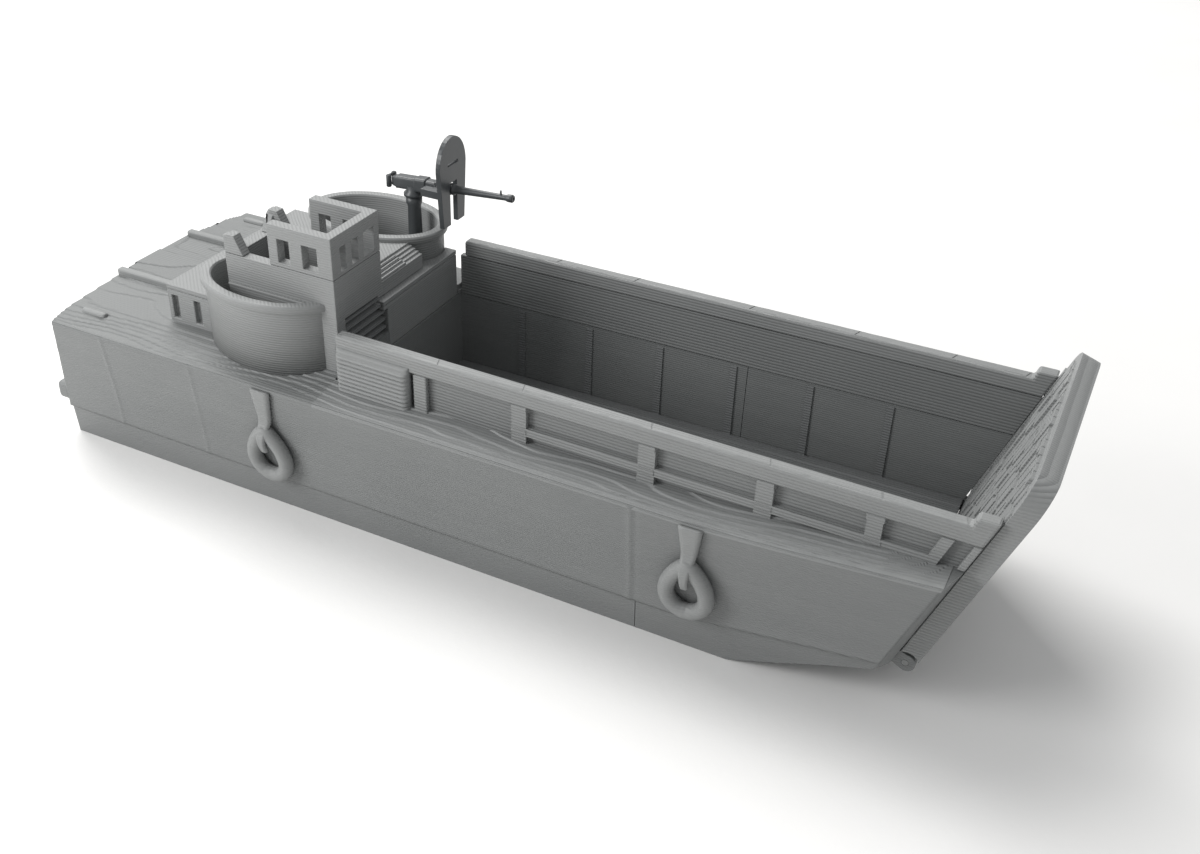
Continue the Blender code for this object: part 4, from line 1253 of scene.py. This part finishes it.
@dataclass
class Gun:
    """The deck gun: pedestal, receiver with grips, tapered barrel, and shield with its sight slit."""

    station: float = 41.0
    breadth: float = 15.5
    axis_z: float = 39.4
    raised: float = math.radians(3.7)
    muzzle: float = 59.0
    barrel_from: float = 3.0
    bore_sink: float = 0.8
    grips_back: float = 4.1

    def build(self) -> None:
        """Builds the gun's pieces."""
        dress(self.pedestal(), Finish.RESIN)
        dress(self.receiver(), Finish.RESIN, Body.GUN)
        dress(self.barrel(), Finish.RESIN, Body.GUN)
        dress(self.grips(), Finish.RESIN, Body.GUN)
        dress(self.shield(), Finish.RESIN, Body.GUN)

    def turned(self, name: str, profile: list[tuple[float, float]], start: np.ndarray,
               along: np.ndarray) -> bpy.types.Object:
        """A round piece: a profile of (distance, radius) carried round a straight axis.

        Args:
            name: The piece's name.
            profile: Distances along the axis and radii, in millimetres.
            start: Where the axis starts, in metres.
            along: The axis's direction.

        Returns:
            The round piece.
        """
        along = along / np.linalg.norm(along)
        helper = np.array([0.0, 1.0, 0.0]) if abs(along[1]) < 0.9 else np.array([0.0, 0.0, 1.0])
        first = np.cross(along, helper)
        first /= np.linalg.norm(first)
        second = np.cross(along, first)
        turn = np.linspace(0, FULL_TURN, 28, endpoint=False)[None, :, None]
        table = np.array(profile) * MM
        rings = (start + table[:, None, :1] * along
                 + table[:, None, 1:] * (np.cos(turn) * first + np.sin(turn) * second))
        return loft(name, rings, closed=False)

    def pedestal(self) -> bpy.types.Object:
        """The post on its bolted foot, widening below and at its head.

        Returns:
            The piece.
        """
        profile = [(0, 2.4), (0.7, 2.4), (0.9, 2.2), (1.1, 1.7), (1.6, 1.4), (6.0, 1.15), (11.6, 1.05),
                   (12.1, 1.3), (13.2, 1.3)]
        start = place(np.array(self.station), np.array(self.breadth), np.array(24.1))
        obj = self.turned("gun_post", profile, start, np.array([0.0, 0.0, 1.0]))
        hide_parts("gun_pedestal")
        return obj

    def on_axis(self, station: float) -> np.ndarray:
        """A point of the bore's axis at a station.

        Args:
            station: The station, in millimetres.

        Returns:
            The point, in metres.
        """
        rise = (station - self.station) * math.tan(self.raised)
        return place(np.array(station), np.array(self.breadth), np.array(self.axis_z + rise))

    def barrel(self) -> bpy.types.Object:
        """The barrel: a ringed jacket, then a long taper to a flared muzzle.

        Returns:
            The piece.
        """
        reach = (self.muzzle - self.station - self.barrel_from) / math.cos(self.raised)
        profile = [(0, 0.75)]
        for ring in np.arange(0.6, 4.4, 0.62):
            profile += [(ring, 0.75), (ring + 0.1, 0.92), (ring + 0.3, 0.92), (ring + 0.4, 0.75)]
        profile += [(5.0, 0.62), (reach - 1.6, 0.45), (reach - 1.3, 0.46), (reach - 0.9, 0.6),
                    (reach - 0.2, 0.62), (reach, 0.5), (reach, 0.25), (reach - self.bore_sink, 0.22)]
        along = np.array([math.cos(self.raised), 0.0, math.sin(self.raised)])
        return self.turned("gun_barrel", profile, self.on_axis(self.station + self.barrel_from), along)

    def receiver(self) -> bpy.types.Object:
        """The body behind the barrel: rounded-square rings whose size changes along the gun.

        Each ring is a square with rounded corners, a power curve of sine and cosine.

        Returns:
            The piece.
        """
        stations = np.array([-3.6, -3.5, -2.9, -2.8, 0.6, 0.8, 2.6, 2.8, 4.3, 4.4])
        half_y = np.array([0.35, 0.62, 0.72, 0.92, 0.92, 1.02, 1.02, 0.85, 0.82, 0.6])
        half_z = np.array([0.5, 0.8, 0.9, 1.02, 1.02, 1.15, 1.15, 0.95, 0.85, 0.6])
        turn = np.linspace(0, FULL_TURN, 40, endpoint=False)[None, :]
        square_y = np.sign(np.cos(turn)) * np.abs(np.cos(turn)) ** 0.35
        square_z = np.sign(np.sin(turn)) * np.abs(np.sin(turn)) ** 0.35
        x = self.station + stations[:, None]
        rings = place(x, self.breadth + half_y[:, None] * square_y,
                      self.axis_z + stations[:, None] * math.tan(self.raised) + half_z[:, None] * square_z)
        obj = loft("gun_receiver", rings, closed=False, smooth=False)
        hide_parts("deck_gun")
        return obj

    def grips(self) -> bpy.types.Object:
        """The cradle under the gun, its head on the pedestal, two spade grips and a sight bead.

        Returns:
            The piece.
        """
        up = np.array([0.0, 0.0, 1.0])
        base = place(np.array(self.station), np.array(self.breadth), np.array(37.45))
        parts = [self.turned("cradle", [(0, 1.6), (0.4, 1.6), (0.7, 1.2), (1.6, 1.1)], base, up)]
        for sign in (-1, 1):
            spot = place(np.array(self.station - self.grips_back),
                         np.array(self.breadth + sign * 0.75), np.array(38.2))
            parts.append(self.turned("grip", [(0, 0.3), (0.1, 0.42), (1.9, 0.42), (2.0, 0.3)], spot, up))
        for z in (38.5, 40.0):
            bar = place(np.array(self.station - self.grips_back), np.array(self.breadth - 0.9), np.array(z))
            parts.append(self.turned("bar", [(0, 0.24), (1.8, 0.24)], bar, np.array([0.0, 1.0, 0.0])))
        bead = self.on_axis(self.muzzle - 2.2)
        parts.append(self.turned("bead", [(0, 0.2), (1.0, 0.14), (1.1, 0.05)], bead, up))
        return joined("gun_mount_fittings", parts)

    def shield(self) -> bpy.types.Object:
        """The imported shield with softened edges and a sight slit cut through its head.

        Returns:
            The piece.
        """
        low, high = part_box("gun_shield")
        obj = softened("gun_shield", 0.16)
        centre = np.array([[high.x, (low.y + high.y) / 2, high.z - 4.2 * MM]])
        cutter = blocks("slit_cutter", centre, np.array([[4.0, 1.5, 0.22]]) * MM, np.eye(3), 0.0)
        cut = obj.modifiers.new("slit", "BOOLEAN")
        cut.operation = "DIFFERENCE"
        cut.solver = "EXACT"
        cut.object = cutter
        while obj.modifiers[0] != cut:
            obj.modifiers.move(obj.modifiers.find("slit"), 0)
        applied(obj)
        bpy.data.objects.remove(cutter, do_unlink=True)
        return obj


# ------------------------------------------------------------------ studio

@dataclass
class Studio:
    """The table, the lights and the camera."""

    target: tuple[float, float, float] = (77.5, 0.0, 13.754)
    azimuth: float = math.radians(26.068)
    elevation: float = math.radians(33.297)
    roll: float = math.radians(1.659)
    distance: float = 193.09
    lens: float = 38.934
    shift: tuple[float, float] = (0.0237, 0.0012)
    reach: float = 2.5
    sky: float = 0.49

    def build(self) -> None:
        """Builds the table, lights and camera."""
        self.table()
        self.lights()
        self.camera()

    def table(self) -> None:
        """A broad flat top under the craft: an even grid over a wide plate."""
        line = np.linspace(-self.reach, self.reach, 21)
        x, y = np.meshgrid(line, line, indexing="ij")
        top = np.stack([x, y, 0.0 * x], -1)
        obj = slab("table_top", top, top - np.array([0.0, 0.0, 0.02]))
        obj.data.materials.append(Finish.TABLE.material())

    def lamp(self, name: str, spot: tuple[float, float, float], size: float, power: float,
             colour: tuple[float, float, float]) -> None:
        """A square soft light that looks at the craft."""
        data = bpy.data.lights.new(name, "AREA")
        data.shape = "SQUARE"
        data.size = size
        data.energy = power
        data.color = colour
        lamp = linked(name, data)
        lamp.location = spot
        aim = Vector((0.0, 0.0, 0.015)) - Vector(spot)
        lamp.rotation_euler = aim.to_track_quat("-Z", "Y").to_euler()

    def lights(self) -> None:
        """A large soft key from the after port quarter, a weaker fill, and an even pale sky."""
        self.lamp("key", (-0.50, 0.38, 0.85), 0.75, 11.0, (1.0, 0.995, 0.985))
        self.lamp("fill", (-0.18, -0.19, 0.15), 0.12, 0.50, (1.0, 1.0, 1.0))
        world = bpy.data.worlds.new("pale_sky")
        world.use_nodes = True
        sky = world.node_tree.nodes["Background"]
        sky.inputs[0].default_value = (0.98, 0.99, 1.0, 1.0)
        sky.inputs[1].default_value = self.sky
        bpy.context.scene.world = world
        bpy.context.scene.view_settings.view_transform = "Standard"

    def camera(self) -> None:
        """The camera, placed by its angles, distance and roll about its own line of sight."""
        data = bpy.data.cameras.new("camera")
        data.lens = self.lens
        data.sensor_width = 36.0
        data.sensor_fit = "HORIZONTAL"
        data.shift_x, data.shift_y = self.shift
        data.clip_start, data.clip_end = 0.005, 20.0
        back = Vector((math.sin(self.azimuth) * math.cos(self.elevation),
                       -math.cos(self.azimuth) * math.cos(self.elevation), math.sin(self.elevation)))
        right = (-back).cross(Vector((0, 0, 1))).normalized()
        up = right.cross(-back)
        cos, sin = math.cos(self.roll), math.sin(self.roll)
        turned = Matrix((right * cos + up * sin, up * cos - right * sin, back)).transposed()
        spot = Vector(place(*(np.array(v) for v in self.target))) + back * self.distance * MM
        camera = linked("camera", data)
        camera.matrix_world = Matrix.Translation(spot) @ turned.to_4x4()
        bpy.context.scene.camera = camera


def main() -> None:
    """Builds the craft from the hull up, then the studio."""
    logging.basicConfig(level=logging.INFO, format="%(name)s: %(message)s")
    Studio().build()
    Hull().build()
    for side in Side:
        Fender("aft", 39.4, 9.6).build(side)
        Fender("bow", 105.9, 10.6).build(side)
        Bulwark().build(side)
        Tub().build(side)
    Well().build()
    House().build()
    Cleats().build()
    Ramp().build()
    Gun().build()


if __name__ == "__main__":
    main()
